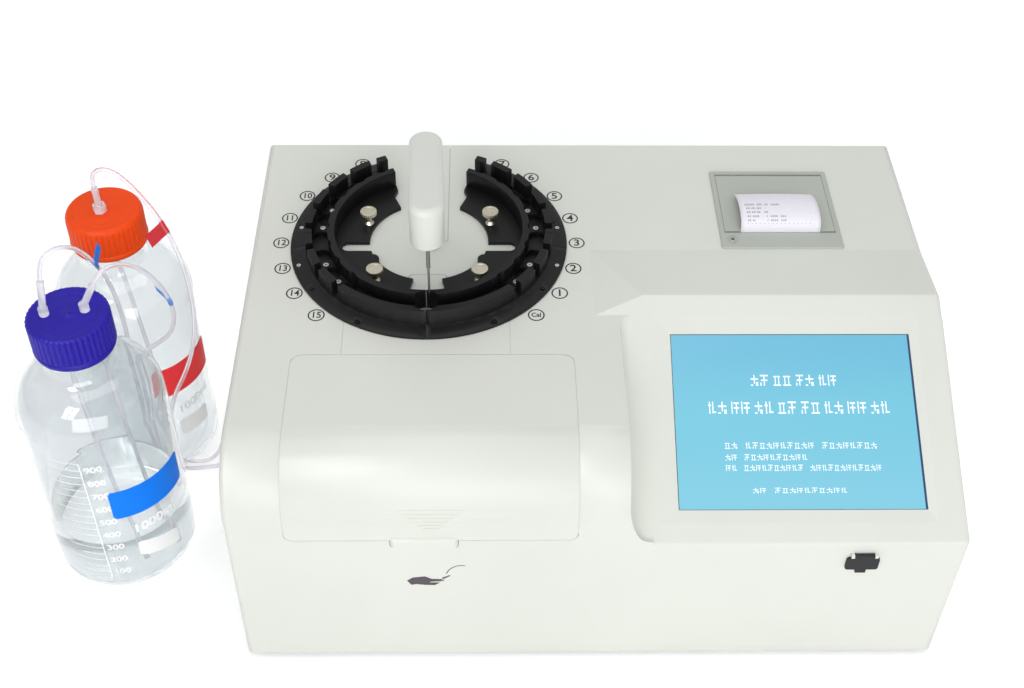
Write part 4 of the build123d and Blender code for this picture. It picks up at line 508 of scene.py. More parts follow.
class Marks:
    """Flat printed marks gathered into one mesh. place maps (across, up) to a point on the surface."""

    def __init__(self, place):
        self.place = place
        self.verts = []
        self.faces = []

    def polygon(self, points):
        start = len(self.verts)
        self.verts += [self.place(x, y) for x, y in points]
        self.faces.append(tuple(range(start, start + len(points))))

    def grid(self, x0, x1, y0, y1, across=1, shear=0.0, corner=0.0):
        """A bar, cut into strips so that it can follow a curved surface."""
        steps = [x0 + (x1 - x0) * n / across for n in range(across + 1)]
        for a, b in zip(steps, steps[1:]):
            quad = []
            for x, side in ((a, 0), (b, 0), (b, 1), (a, 1)):
                inset = 0.0
                edge = min(x - x0, x1 - x)
                if corner and edge < corner:
                    inset = corner - math.sqrt(max(0.0, corner**2 - (corner - edge) ** 2))
                y = (y1 - inset) if side else (y0 + inset)
                quad.append((x, y + shear * (x - x0)))
            self.polygon(quad)

    def ring(self, x, y, outer, inner):
        segments = 40
        start = len(self.verts)
        for n in range(segments):
            turn = 2 * math.pi * n / segments
            for radius in (outer, inner):
                self.verts.append(self.place(x + radius * math.cos(turn), y + radius * math.sin(turn)))
        for n in range(segments):
            m = (n + 1) % segments
            self.faces.append((start + 2 * n, start + 2 * m, start + 2 * m + 1, start + 2 * n + 1))

    def word(self, text, x, y, size, width, bold):
        shape, faces = lettering(text, size, bold)
        start = len(self.verts)
        self.verts += [self.place(x + v.x * width, y + v.y) for v in shape]
        self.faces += [tuple(start + i for i in face) for face in faces]

    def stroke(self, points, width):
        """A line of a given width through the points."""
        half = width / 2
        left, right = [], []
        for n, (x, y) in enumerate(points):
            before = points[max(0, n - 1)]
            after = points[min(len(points) - 1, n + 1)]
            along = Vector((after[0] - before[0], after[1] - before[1])).normalized()
            left.append((x - along.y * half, y + along.x * half))
            right.append((x + along.y * half, y - along.x * half))
        for n in range(len(points) - 1):
            self.polygon([right[n], right[n + 1], left[n + 1], left[n]])

    def piece(self, name, material, body):
        return piece_of(name, self.verts, self.faces, material, body, smooth=False)


def on_deck(x, y):
    return Vector((x, y, DECK + SKIN))


def on_front(x, z):
    return Vector((x, FRONT - SKIN, z))


def on_screen(above):
    """A mapping from the screen's centre: across and up the slope, and above the glass."""
    def place(x, y):
        up = SCREEN_UP + y
        lift = above - GLASS_BELOW
        return Vector((
            SCREEN_X + x,
            FRONT + up * math.cos(TILT) - lift * math.sin(TILT),
            CONSOLE_FRONT + up * math.sin(TILT) + lift * math.cos(TILT),
        ))
    return place


def on_bottle(centre, above=SKIN):
    """A mapping from arc length, from the bottle's right side, and height to its wall."""
    def place(x, z):
        turn = x / BOTTLE_RADIUS
        radius = BOTTLE_RADIUS + above
        return centre + Vector((radius * math.cos(turn), radius * math.sin(turn), z))
    return place


INK = printed("ink_black", "26242A")
PURPLE_INK = printed("ink_purple", "4B4049")
WHITE_INK = printed("ink_white", "FFFFFF", 0.6, 0.2)

# -------- printed marks on the case


def position_marks():
    """A ring with its number beside each sample position."""
    marks = Marks(on_deck)
    names = ["Cal", "1", "2", "3", "4", "5", "6", "7"]
    places = [(-45 + 15 * n, name) for n, name in enumerate(names)]
    places += [(120 + 15 * n, str(8 + n)) for n in range(8)]
    shapes = {1: (0.0066, 1.05), 2: (0.0058, 0.86), 3: (0.0039, 0.90)}  # height and width by length
    for bearing, name in places:
        turn = math.radians(bearing)
        x = RACK.x + LABEL_CIRCLE * math.cos(turn)
        y = RACK.y + LABEL_CIRCLE * math.sin(turn)
        marks.ring(x, y, outer=0.00575, inner=0.0048)
        marks.word(name, x, y, *shapes[len(name)], bold=0.00014)
    marks.piece("position_marks", INK, "case")


def hatch_pictogram():
    """A hand under an upward arc, printed below the hatch's grip, drawn in millimetres."""
    marks = Marks(lambda x, z: on_front(x / 1000, z / 1000))
    marks.polygon([(-124.7, 88.1), (-121.8, 83.5), (-118.7, 84.3), (-113.0, 83.4), (-110.1, 85.6),
                   (-108.8, 87.0), (-103.1, 87.2), (-99.8, 88.3), (-102.2, 89.7), (-108.4, 90.0),
                   (-112.8, 92.8), (-120.9, 91.5)])
    marks.polygon([(-113.0, 83.4), (-106.5, 83.1), (-103.1, 85.9), (-108.7, 86.2), (-110.1, 85.6)])
    marks.polygon([(-102.0, 91.1), (-100.8, 89.7), (-96.0, 93.3), (-96.5, 94.1)])
    marks.stroke([(-98.9, 95.5), (-97.2, 99.3), (-95.1, 101.8), (-92.6, 103.6), (-89.4, 104.5),
                  (-86.4, 104.2)], 0.7)
    marks.piece("hatch_pictogram", PURPLE_INK, "case")


def seam_seals():
    """Painted seam shade: pale and grey sheets a little way down in the seams round the hatch and the deck's
    plates, coloured to the shade seen in each seam.
    """
    half, deep = 0.00024, 0.00035  # half a sheet's width, and how far down it lies
    # pale and grey are painted seam shade: lighter in the hatch and plate seams, darker grey in the rear
    # seams
    pale = moulded("seam_shade_pale", "D2D5CB", 0.6, 0.0)
    grey = moulded("seam_shade_grey", "B4B6AC", 0.6, 0.0)
    left, right = RACK.x - 0.0132, RACK.x + 0.0132  # the seams on each side of the arm's plates
    hatch_left, hatch_right, hatch_rear, hatch_low = -0.2007, -0.0148, -0.0593, 0.1308
    insert_left, insert_right, insert_front, insert_rear = -0.1682, -0.0568, -0.0591, -0.0198
    corner = 0.0030  # where a seam's corner is round, its sheet stops short
    port_rear, port_low = 0.0155, -0.0370
    strip_front, strip_rear = 0.0563, 0.1625
    seams = {
        "hatch_seam_shade": (-0.1975, -0.0180, hatch_rear, hatch_rear),
        "insert_seam_shade_left": (insert_left, insert_left, insert_front, insert_rear - corner),
        "insert_seam_shade_right": (insert_right, insert_right, insert_front, insert_rear - corner),
        "insert_seam_shade_rear": (insert_left + corner, left, insert_rear, insert_rear),
        "insert_seam_shade_rear_right": (right, insert_right - corner, insert_rear, insert_rear),
        "port_seam_shade": (left, left, port_low, port_rear),
        "port_seam_shade_right": (right, right, port_low, port_rear),
        "port_seam_shade_front": (left + corner, right - corner, -0.0402, -0.0402),
        "rear_seam_shade_left": (left, left, strip_front, strip_rear),
        "rear_seam_shade_right": (right, right, strip_front, strip_rear),
    }
    for name, (x0, x1, y0, y1) in seams.items():
        marks = Marks(lambda x, y: Vector((x, y, DECK - deep)))
        marks.grid(x0 - half, x1 + half, y0 - half, y1 + half)
        marks.piece(name, grey if name.startswith("rear") else pale, "case")

    case_round, steps = 0.045, 24
    turns = [math.radians(90.0 * n / steps) for n in range(steps + 1)]
    line = [(FRONT + deep, 0.137)]
    line += [(FRONT + case_round - (case_round - deep) * math.cos(turn),
              DECK - case_round + (case_round - deep) * math.sin(turn)) for turn in turns]
    line.append((-0.0615, DECK - deep))
    for name, x in (("hatch_seam_shade_left", hatch_left), ("hatch_seam_shade_right", hatch_right)):
        verts = [Vector((x + side * half, y, z)) for y, z in line for side in (-1, 1)]
        faces = [(2 * n, 2 * n + 1, 2 * n + 3, 2 * n + 2) for n in range(len(line) - 1)]
        piece_of(name, verts, faces, pale, "case", smooth=False)

    # painted seam shade in the hatch's two rear corners
    corners = Marks(lambda x, y: Vector((x, y, DECK - 0.0006)))
    size = 0.008
    x0, x1, y = hatch_left - 0.0001, hatch_right + 0.0001, hatch_rear + 0.0001
    corners.polygon([(x0, y), (x0, y - size), (x0 + size, y)])
    corners.polygon([(x1, y), (x1 - size, y), (x1, y - size)])
    corners.piece("hatch_corner_seam_shade", pale, "case")

    # painted seam shade along the hatch's lower seam
    front = Marks(lambda x, z: Vector((x, FRONT + deep, z)))
    for x0, x1 in ((-0.1955, -0.1340), (-0.0905, -0.0200)):  # on each side of the grip
        front.grid(x0, x1, hatch_low - half, hatch_low + half)
    front.piece("hatch_seam_shade_front", pale, "case")


position_marks()
hatch_pictogram()
seam_seals()

# -------- screen


def display_face():
    """The lit picture under the touch glass: sky blue, a little deeper at the top."""
    s = Surface("display_picture")
    height = s.nodes.new("ShaderNodeMapRange")
    height.inputs["From Min"].default_value = on_screen(0)(0, -SCREEN_LENGTH / 2).z
    height.inputs["From Max"].default_value = on_screen(0)(0, SCREEN_LENGTH / 2).z
    s.join(s.axis("Z"), height.inputs["Value"])
    tone = s.ramp(height.outputs[0], (0.0, linear("7DC6DC")), (0.5, linear("72C2D9")),
                  (1.0, linear("68B6D4")), smooth=True)
    s.colour(s.mix(0.45, tone, (0.0, 0.0, 0.0)))
    s.join(tone, s.shader.inputs["Emission Color"])
    s.set(glow=0.50, rough=0.30, coat=0.25, coat_rough=0.12)
    return s.material


def glowing(name, text, glow):
    """A lit area of the display."""
    s = Surface(name)
    base = linear(text)
    cover = s.noise(300.0, 2.0, 0.5)
    tone = s.ramp(cover, (0.3, shade(base, 0.97)), (0.7, base))
    s.colour(s.mix(0.4, tone, (0.0, 0.0, 0.0)))
    s.join(tone, s.shader.inputs["Emission Color"])
    s.set(glow=glow, rough=0.3)
    return s.material


# strokes of a made-up letter, as shares of its width and height: left, right, low, high
GLYPHS = (
    ((0.0, 1.0, 0.86, 1.0), (0.1, 0.9, 0.44, 0.57), (0.43, 0.57, 0.0, 0.86), (0.0, 0.16, 0.0, 0.3)),
    ((0.0, 0.14, 0.0, 1.0), (0.3, 1.0, 0.8, 0.93), (0.3, 1.0, 0.42, 0.55), (0.58, 0.72, 0.0, 0.8)),
    ((0.05, 0.95, 0.78, 0.9), (0.2, 0.33, 0.1, 0.78), (0.67, 0.8, 0.1, 0.78), (0.0, 1.0, 0.0, 0.12)),
    ((0.0, 0.4, 0.62, 0.75), (0.13, 0.27, 0.0, 1.0), (0.55, 0.69, 0.2, 1.0), (0.5, 1.0, 0.06, 0.2)),
    ((0.0, 1.0, 0.55, 0.68), (0.43, 0.57, 0.2, 1.0), (0.0, 0.3, 0.0, 0.13), (0.7, 1.0, 0.0, 0.35)),
)
# in millimetres: middle, letter height, first letter's left side, letter width, count, pitch
TITLE_ROWS = ((28.0, 7.8, -28.5, 11.8, 4, 15.2), (8.8, 8.6, -58.0, 12.2, 8, 15.5))
# in millimetres: middle, letter height, left side, count, pitch
SMALL_ROWS = (
    (-17.4, 4.4, -48.6, 22, 4.6), (-25.4, 4.2, -48.6, 14, 4.2),
    (-32.6, 4.2, -48.6, 26, 3.95), (-47.8, 3.6, -32.0, 14, 4.8),
)
WORD_GAPS = (2, 13)


def screen_rows():
    """Rows of made-up letters that can't be read, where a home page has its title and its lines."""
    bars = Marks(on_screen(2 * SKIN))

    def glyph(number, x, y, width, height):
        for x0, x1, y0, y1 in GLYPHS[number % len(GLYPHS)]:
            bars.grid((x + x0 * width) / 1000, (x + x1 * width) / 1000,
                      (y + y0 * height) / 1000, (y + y1 * height) / 1000)

    for middle, height, start, width, count, pitch in TITLE_ROWS:
        for n in range(count):
            x, y = start + pitch * n, middle - height / 2
            glyph(n * 3 + count, x, y, width * 0.42, height)
            glyph(n * 2 + count + 1, x + width * 0.54, y, width * 0.46, height)
    for middle, height, start, count, pitch in SMALL_ROWS:
        for n in range(count):
            if n not in WORD_GAPS:
                glyph(n * 2 + count, start + pitch * n, middle - height / 2, pitch * 0.78, height)
    bars.piece("screen_bars", glowing("screen_white", "F4FAFF", 0.55), "case")


def screen_pieces():
    """The lit picture, the darker edge at its right, and the rows on it."""
    low, high = -SCREEN_LENGTH / 2 + 0.0005, SCREEN_LENGTH / 2 - 0.0005
    left, right = -SCREEN_WIDTH / 2 + 0.0006, SCREEN_WIDTH / 2 - 0.0014
    picture = Marks(on_screen(SKIN))
    picture.grid(left, right, low, high)
    face = picture.piece("screen_picture", display_face(), "case")
    edge = Marks(on_screen(SKIN))
    edge.grid(right, SCREEN_WIDTH / 2 - 0.0002, low, high)
    edge.piece("screen_edge", glowing("screen_edge_blue", "2A4C86", 0.15), "case")
    screen_rows()


screen_pieces()

# -------- printer paper


def smooth_line(points, steps):
    """Points along a smooth curve through the given ones."""
    out = []
    padded = [points[0]] + points + [points[-1]]
    for n in range(1, len(padded) - 2):
        p0, p1, p2, p3 = padded[n - 1:n + 3]
        for step in range(steps):
            t = step / steps
            out.append(tuple(
                0.5 * (2 * b + (c - a) * t + (2 * a - 5 * b + 4 * c - d) * t**2
                       + (3 * b - a - 3 * c + d) * t**3)
                for a, b, c, d in zip(p0, p1, p2, p3)
            ))
    out.append(points[-1])
    return out


PAPER_LINE = smooth_line(
    [(62.8, 186.5), (62.75, 192.0), (63.6, 196.2), (66.6, 199.4), (72.5, 200.9), (80.0, 201.0),
     (88.5, 199.8), (96.0, 197.3), (102.4, 194.4)], 8)
PAPER_LEFT = 0.1104
PAPER_WIDTH = 0.0574


def paper_point(across, along, above):
    """A point over the paper: across it, along its line, and off its outer face."""
    place = along * (len(PAPER_LINE) - 1)
    n = min(int(place), len(PAPER_LINE) - 2)
    share = place - n
    (y0, z0), (y1, z1) = PAPER_LINE[n], PAPER_LINE[n + 1]
    y, z = y0 + (y1 - y0) * share, z0 + (z1 - z0) * share
    length = math.hypot(y1 - y0, z1 - z0)
    out_y, out_z = -(z1 - z0) / length, (y1 - y0) / length
    curl = 0.7 * (2 * across - 1) ** 2 * along**2
    return Vector((
        PAPER_LEFT + across * PAPER_WIDTH,
        (y + out_y * above) / 1000,
        (z + out_z * above - curl) / 1000,
    ))


def feed_lamp():
    """The feed button takes the printer's grey, with a small green lamp on top of it."""
    radius, height = 0.0013, 0.0006
    low, high = (Vector(corner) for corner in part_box("feed_button"))
    middle = Vector(((low.x + high.x) / 2, (low.y + high.y) / 2, high.z))
    NODES["feed_button"].data.materials[0] = MATERIALS["printer_grey"]
    turns = [math.radians(a) for a in range(15, 90, 15)]
    dome = [(0.0, 0.0), (radius, 0.0)]
    dome += [(radius * math.cos(turn), height * math.sin(turn)) for turn in turns]
    verts, faces = revolved(dome + [(0.0, height)], middle, 32)
    piece_of("feed_lamp", verts, faces, MATERIALS["button_green"], "button")


def printer_paper():
    """The strip of paper that comes out over the door, as a thin closed sheet."""
    columns, rows, thickness = 16, 64, 0.09
    verts, faces = [], []
    for above in (0.0, thickness):
        for j in range(rows + 1):
            for i in range(columns + 1):
                verts.append(paper_point(i / columns, j / rows, above))
    layer = (columns + 1) * (rows + 1)

    def at(i, j, top):
        return top * layer + j * (columns + 1) + i
    for j in range(rows):
        for i in range(columns):
            faces.append((at(i, j, 1), at(i + 1, j, 1), at(i + 1, j + 1, 1), at(i, j + 1, 1)))
            faces.append((at(i, j + 1, 0), at(i + 1, j + 1, 0), at(i + 1, j, 0), at(i, j, 0)))
        for i in (0, columns):
            quad = (at(i, j, 0), at(i, j, 1), at(i, j + 1, 1), at(i, j + 1, 0))
            faces.append(quad if i == 0 else quad[::-1])
    for i in range(columns):
        for j in (0, rows):
            quad = (at(i, j, 0), at(i + 1, j, 0), at(i + 1, j, 1), at(i, j, 1))
            faces.append(quad if j == 0 else quad[::-1])
    paper = piece_of("paper", verts, faces, MATERIALS["paper_white"], "door")
    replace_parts(paper, "paper_strip")


def paper_printing():
    """Short printed rows: plain dots and dashes, as a reading is printed."""
    pitch = 0.024  # from one dash to the next, as a share of the paper's width
    marks = Marks(lambda x, y: paper_point(x, y, 0.13))
    rows = [
        (0.655, [(0.075, 0.20), (0.225, 0.30), (0.325, 0.37), (0.405, 0.515)]),
        (0.585, [(0.085, 0.135), (0.15, 0.20), (0.215, 0.275)]),
        (0.515, [(0.085, 0.135), (0.15, 0.20), (0.215, 0.26), (0.305, 0.355)]),
        (0.44, [(0.085, 0.135), (0.15, 0.235), (0.33, 0.345), (0.375, 0.47), (0.505, 0.575)]),
        (0.365, [(0.085, 0.13), (0.145, 0.185), (0.33, 0.345), (0.375, 0.47), (0.505, 0.575)]),
    ]
    for along, runs in rows:
        for start, stop in runs:
            count = max(1, round((stop - start) / pitch))
            for n in range(count):
                x0 = start + (stop - start) * n / count
                x1 = x0 + (stop - start) / count * 0.72
                marks.grid(x0, x1, along - 0.012, along - 0.006)
                marks.grid(x0, x0 + (x1 - x0) * 0.42, along - 0.006, along + 0.012)
                marks.grid(x0 + (x1 - x0) * 0.3, x1, along + 0.012, along + 0.018)
    for n in range(16):
        x0 = 0.075 + 0.052 * n
        marks.grid(x0, x0 + 0.016, 0.300, 0.306)
    marks.piece("paper_print", printed("ink_grey", "5C5A62"), "door")


feed_lamp()
printer_paper()
paper_printing()

# -------- bottles


def bottle_profile(inset, top):
    """The outline of a bottle's wall from the middle of its floor to its mouth."""
    body, neck, flat = BOTTLE_RADIUS - inset, NECK_RADIUS - inset, BOTTLE_RADIUS - inset - FOOT_ROUND
    convex, concave = SHOULDER_ROUND - inset, NECK_ROUND + inset
    apart = SHOULDER_ROUND + NECK_ROUND  # from one arc's centre to the other's
    across = NECK_RADIUS + apart - BOTTLE_RADIUS
    rise = math.sqrt(apart**2 - across**2)
    lean = math.acos(across / apart)
    hollow = 0.0012
    line = [(0.0, inset + hollow), (flat - 0.008, inset + hollow), (flat - 0.003, inset + hollow / 4)]
    for n in range(9):
        turn = math.pi / 2 * n / 8
        line.append((flat + FOOT_ROUND * math.sin(turn), inset + FOOT_ROUND * (1 - math.cos(turn))))
    for n in range(1, 9):
        line.append((body, inset + FOOT_ROUND + (SHOULDER_HEIGHT - inset - FOOT_ROUND) * n / 8))
    for n in range(1, 17):
        turn = lean * n / 16
        line.append((body - convex + convex * math.cos(turn), SHOULDER_HEIGHT + convex * math.sin(turn)))
    for n in range(1, 9):
        turn = lean * (1 - n / 8)
        line.append((neck + concave - concave * math.cos(turn),
                     SHOULDER_HEIGHT + rise - concave * math.sin(turn)))
    line += [(neck, (SHOULDER_HEIGHT + rise + top) / 2), (neck, top)]
    return line


def glass_bottle(name, centre, node, material):
    """A bottle with its wall's real thickness."""
    outside = bottle_profile(0.0, NECK_TOP)
    inside = bottle_profile(BOTTLE_WALL, NECK_TOP)
    verts, faces = revolved(outside + inside[::-1], centre, 128)
    piece = piece_of(name, verts, faces, material, "case")
    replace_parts(piece, node)


def contents(name, centre, level, tint):
    """Liquid that wets the glass, up to its level."""
    inset = BOTTLE_WALL - 0.0002
    wetted = [(r, z) for r, z in bottle_profile(inset, NECK_TOP) if z < level - 0.002]
    wall = BOTTLE_RADIUS - inset
    line = wetted + [(wall, level - 0.002), (wall, level), (wall - 0.004, level), (0.0, level)]
    verts, faces = revolved(line, centre, 128)
    piece_of(name, verts, faces, liquid(name + "_clear", tint), "case")


def bottle_cap(name, centre, material, node, top_round, rib_top, depth):
    """A ribbed screw cap over a plain wider bead; its ribs end rib_top below the top."""
    ribs, per_rib = 44, 8
    bead_radius, body, height, bead = 0.0268, 0.0259, 0.026, 0.0046
    low = BOTTLE_TOP - height

    def ribbed(down):
        return min(1.0, max(0.0, (down - rib_top) / 0.0015 + 0.5))

    # radius, height, and the share of the ribs' depth
    rows = [(0.0212, low + 0.0004, 0.0), (bead_radius - 0.0006, low, 0.0)]
    rows += [(bead_radius - 0.0009 + 0.0009 * math.sin(math.pi * n / 8),
              low + 0.0004 + (bead - 0.0008) * n / 8, 0.0) for n in range(9)]
    rows += [(body, low + bead, 0.4), (body, low + bead + 0.0008, 1.0)]
    start, stop = bead + 0.0012, height - top_round
    for n in range(9):
        up = start + (stop - start) * n / 8
        rows.append((body, low + up, ribbed(height - up)))
    for n in range(1, 9):
        turn = math.pi / 2 * n / 8
        down = top_round * (1 - math.sin(turn))
        rows.append((body - top_round * (1 - math.cos(turn)), BOTTLE_TOP - down, ribbed(down) * (1 - n / 8)))
    # two fine rings on the top, and the stub where it was moulded
    rows += [(radius, BOTTLE_TOP + up, 0.0) for radius, up in (
        (0.0205, 0.0), (0.0201, -0.00018), (0.0197, 0.0), (0.0160, 0.0), (0.0156, -0.00012),
        (0.0152, 0.0), (0.0060, -0.00005), (0.0016, -0.0001), (0.0013, 0.0006), (0.0006, 0.0008),
        (0.0, 0.0008))]

    def relief(row, n):
        return depth * rows[row][2] * (abs(math.sin(math.pi * n / per_rib)) ** 0.7 - 0.35)

    verts, faces = revolved([row[:2] for row in rows], centre, ribs * per_rib, relief)
    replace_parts(piece_of(name, verts, faces, MATERIALS[material], "case"), node)


glass_bottle("buffer_glass", BUFFER, "buffer_bottle", glass("buffer_glass_clear", (0.815, 0.838, 0.850)))
glass_bottle("waste_glass", WASTE, "waste_bottle", MATERIALS["bottle_glass"])
contents("buffer_liquid", BUFFER, 0.0560, (0.985, 0.995, 0.990))
bottle_cap("buffer_lid", BUFFER, "cap_blue", "buffer_cap", 0.0018, 0.0004, 0.0013)
bottle_cap("waste_lid", WASTE, "cap_orange", "waste_cap", 0.0034, 0.0030, 0.0008)


DEGREE = BOTTLE_RADIUS * math.pi / 180  # an arc of one degree round a bottle


def graduations():
    """The printed scale of a one-litre bottle, its volume, and its writing patch."""
    marks = Marks(on_bottle(BUFFER))
    step, low = 0.01378, 0.0105  # the height of 100 ml, and of the empty mark
    edge = -91.5 * DEGREE
    for volume in range(50, 951, 50):
        z = low + step * volume / 100
        whole = volume % 100 == 0
        reach = (-121 if whole else -110) * DEGREE
        marks.grid(reach, edge, z - 0.00030, z + 0.00030, across=10)
        if whole:
            marks.word(str(volume), -81.5 * DEGREE, z, 0.0054, 1.05, bold=0.00018)
    marks.grid(edge, -90.6 * DEGREE, low + step * 0.5, low + step * 9.5)
    marks.word("1000ml", -44.5 * DEGREE, 0.0660, 0.0080, 1.05, bold=0.0003)
    marks.grid(-64 * DEGREE, -27 * DEGREE, 0.0368, 0.0524, across=12, shear=-0.34, corner=0.0015)
    marks.piece("buffer_scale", WHITE_INK, "case")
    patch = Marks(on_bottle(WASTE))
    patch.grid(-50 * DEGREE, -18 * DEGREE, 0.0400, 0.0560, across=12, shear=-0.12, corner=0.0015)
    patch.word("1000ml", -30 * DEGREE, 0.0665, 0.0074, 1.05, bold=0.0002)
    patch.piece("waste_scale", WHITE_INK, "case")


def bottle_label(name, centre, text, left, right, low, high, drop):
    """A rounded sticker on a bottle's wall."""
    marks = Marks(on_bottle(centre, 0.00014))
    marks.grid(left * DEGREE, right * DEGREE, low, high, across=40,
               shear=-drop / ((right - left) * DEGREE), corner=0.0026)
    marks.piece(name, printed(name + "_film", text, 0.45, 0.12), "case")


graduations()
bottle_label("buffer_sticker", BUFFER, "0680FF", -76.5, -6.5, 0.0818, 0.1096, 0.0042)
bottle_label("waste_sticker", WASTE, "FF3C40", -58.0, 1.0, 0.0856, 0.1134, 0.0042)

# -------- tubes

LEFT_BUFFER_ROUTE = [
    (-351.0, -57.3, 253.5), (-350.3, -54.3, 264.5), (-343.5, -49.6, 272.0), (-333.5, -43.0, 270.5),
    (-327.0, -33.0, 254.5), (-322.5, -18.0, 222.0), (-321.0, -11.0, 184.0), (-321.5, -10.5, 140.0),
    (-319.5, -11.5, 92.0), (-319.0, -10.0, 52.0), (-312.5, -7.0, 28.0), (-302.5, -1.0, 15.0),
    (-291.5, 3.6, 8.2), (-282.5, 8.5, 8.5), (-278.0, 22.0, 11.0), (-273.0, 35.0, 16.0),
    (-260.0, 48.5, 22.0), (-246.0, 48.5, 22.0),
]
RIGHT_BUFFER_ROUTE = [
    (-319.8, -55.3, 248.4), (-315.5, -53.5, 256.5), (-306.5, -48.0, 259.0), (-296.0, -39.0, 250.5),
    (-286.5, -29.0, 228.0), (-281.5, -21.0, 196.0), (-287.5, -15.5, 168.0), (-305.0, -11.5, 149.5),
    (-316.5, -11.2, 143.0), (-315.0, -11.5, 118.0), (-313.5, -12.0, 75.0), (-313.0, -12.5, 36.0),
    (-310.5, -8.0, 14.0), (-300.5, -1.2, 6.8), (-289.0, -0.4, 6.7), (-277.0, 1.8, 6.7),
    (-271.5, 14.0, 9.5), (-267.5, 26.0, 15.0), (-259.5, 38.5, 22.0), (-246.0, 38.5, 22.0),
]
WASTE_ROUTE = [
    (-336.5, 39.5, 250.0), (-336.8, 39.5, 260.5), (-329.4, 39.0, 267.2), (-318.5, 36.5, 265.5),
    (-304.0, 26.5, 257.5), (-288.5, 11.5, 246.5), (-276.5, -2.0, 228.0), (-271.5, -8.5, 196.0),
    (-274.0, -10.5, 160.0), (-284.0, -12.0, 128.0), (-299.0, -13.5, 98.0), (-307.0, -14.5, 62.0),
    (-309.0, -14.0, 34.0), (-306.5, -9.5, 17.0), (-299.0, -4.2, 9.3), (-287.0, -2.2, 9.0),
    (-275.5, -1.0, 9.0), (-268.0, 9.5, 12.5), (-266.0, 19.0, 17.5), (-259.0, 28.5, 22.0),
    (-246.0, 28.5, 22.0),
]


def tube_curve(name, route):
    """A smooth curve through the route, as thick as the tube."""
    data = bpy.data.curves.new(name, "CURVE")
    data.dimensions = "3D"
    spline = data.splines.new("NURBS")
    spline.points.add(len(route) - 1)
    for point, place in zip(spline.points, route):
        point.co = (place[0] / 1000, place[1] / 1000, place[2] / 1000, 1)
    spline.order_u = 3
    spline.use_endpoint_u = True
    spline.resolution_u = 10
    data.bevel_depth = TUBE_RADIUS
    data.bevel_resolution = 4
    data.use_fill_caps = True
    data.materials.append(MATERIALS["tube_clear"])
    return add_object(name, data)


def centreline(curve):
    """The points that a tube's own spline follows."""
    depth, curve.data.bevel_depth = curve.data.bevel_depth, 0.0
    bpy.context.view_layer.update()
    shape = bpy.data.meshes.new_from_object(curve.evaluated_get(bpy.context.evaluated_depsgraph_get()))
    points = [v.co.copy() for v in shape.vertices]
    bpy.data.meshes.remove(shape)
    curve.data.bevel_depth = depth
    return points


def part_way(points, share):
    """The point and direction at a share of a line's length."""
    total = sum((b - a).length for a, b in zip(points, points[1:]))
    left = share * total
    for a, b in zip(points, points[1:]):
        step = (b - a).length
        if left <= step:
            return a.lerp(b, left / step), (b - a).normalized()
        left -= step
    return points[-1], (points[-1] - points[-2]).normalized()


def tube_flag(name, curve, share, out, reach, width, text):
    """A strip of tape folded round the tube, with its two ends stuck together as a flag."""
    place, along = part_way(centreline(curve), share)
    out = Vector(out)
    out = (out - along * out.dot(along) * 0.3).normalized()
    side = along.cross(out).normalized()
    bend, thick = 0.00175, 0.00022
    section = [(reach, thick), (bend * 0.9, thick * 1.4)]
    section += [(bend * math.cos(a), bend * math.sin(a))
                for a in (math.radians(20 + 32 * n) for n in range(11))]
    section += [(bend * 0.9, -thick * 1.4), (reach, -thick)]
    verts, faces = [], []
    rows = 6
    for j in range(rows + 1):
        shift = width * (j / rows - 0.5)
        wave = 0.0004 * math.sin(3.0 * j / rows)
        for x, y in section:
            lift = wave * (x / reach) ** 2 if x > bend else 0.0
            verts.append(place + along * shift + out * x + side * (y + lift))
    count = len(section)
    for j in range(rows):
        for n in range(count):
            m = (n + 1) % count
            faces.append((j * count + n, j * count + m, (j + 1) * count + m, (j + 1) * count + n))
    faces.append(tuple(range(count))[::-1])
    faces.append(tuple(rows * count + n for n in range(count)))
    return piece_of(name, verts, faces, printed(name + "_film", text, 0.3), "case", smooth=False)


def free_tubes():
    """The three tubes from the caps to the case, each with its flag."""
    tubes = {
        "buffer_line_left": (LEFT_BUFFER_ROUTE, 0.385, "buffer_tube_left"),
        "buffer_line_right": (RIGHT_BUFFER_ROUTE, 0.380, "buffer_tube_right"),
        "waste_line": (WASTE_ROUTE, 0.399, "waste_tube"),
    }
    curves = [tube_curve(name, route) for name, (route, length, node) in tubes.items()]
    left, right, waste = curves
    flags = (
        tube_flag("flag_blue_left", left, 0.178, (0.2, -0.1, 1.0), 0.017, 0.0075, "1C6FD0"),
        tube_flag("flag_blue_right", right, 0.226, (-0.6, 0.2, 0.8), 0.013, 0.0050, "2C7AD8"),
        tube_flag("flag_red", waste, 0.200, (-0.75, -0.2, -0.75), 0.016, 0.0090, "C8202A"),
    )
    for curve, flag, (route, length, node) in zip(curves, flags, tubes.values()):
        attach(curve, "case")
        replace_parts(curve, node)


def dip_tube(name, top, foot, lean):
    """A stiff clear tube from the cap down to the bottle's floor."""
    bend = top.lerp(foot, 0.5) + lean
    verts, faces = [], []
    steps, around = 24, 16
    for n in range(steps + 1):
        t = n / steps
        place = top * (1 - t) ** 2 + bend * 2 * t * (1 - t) + foot * t * t
        for k in range(around):
            turn = 2 * math.pi * k / around
            verts.append(place + TUBE_RADIUS * Vector((math.cos(turn), math.sin(turn), 0)))
    for n in range(steps):
        for k in range(around):
            m = (k + 1) % around
            faces.append((n * around + k, (n + 1) * around + k, (n + 1) * around + m, n * around + m))
    faces.append(tuple(range(around)))
    faces.append(tuple(steps * around + k for k in range(around))[::-1])
    piece_of(name, verts, faces, MATERIALS["tube_clear"], "case")


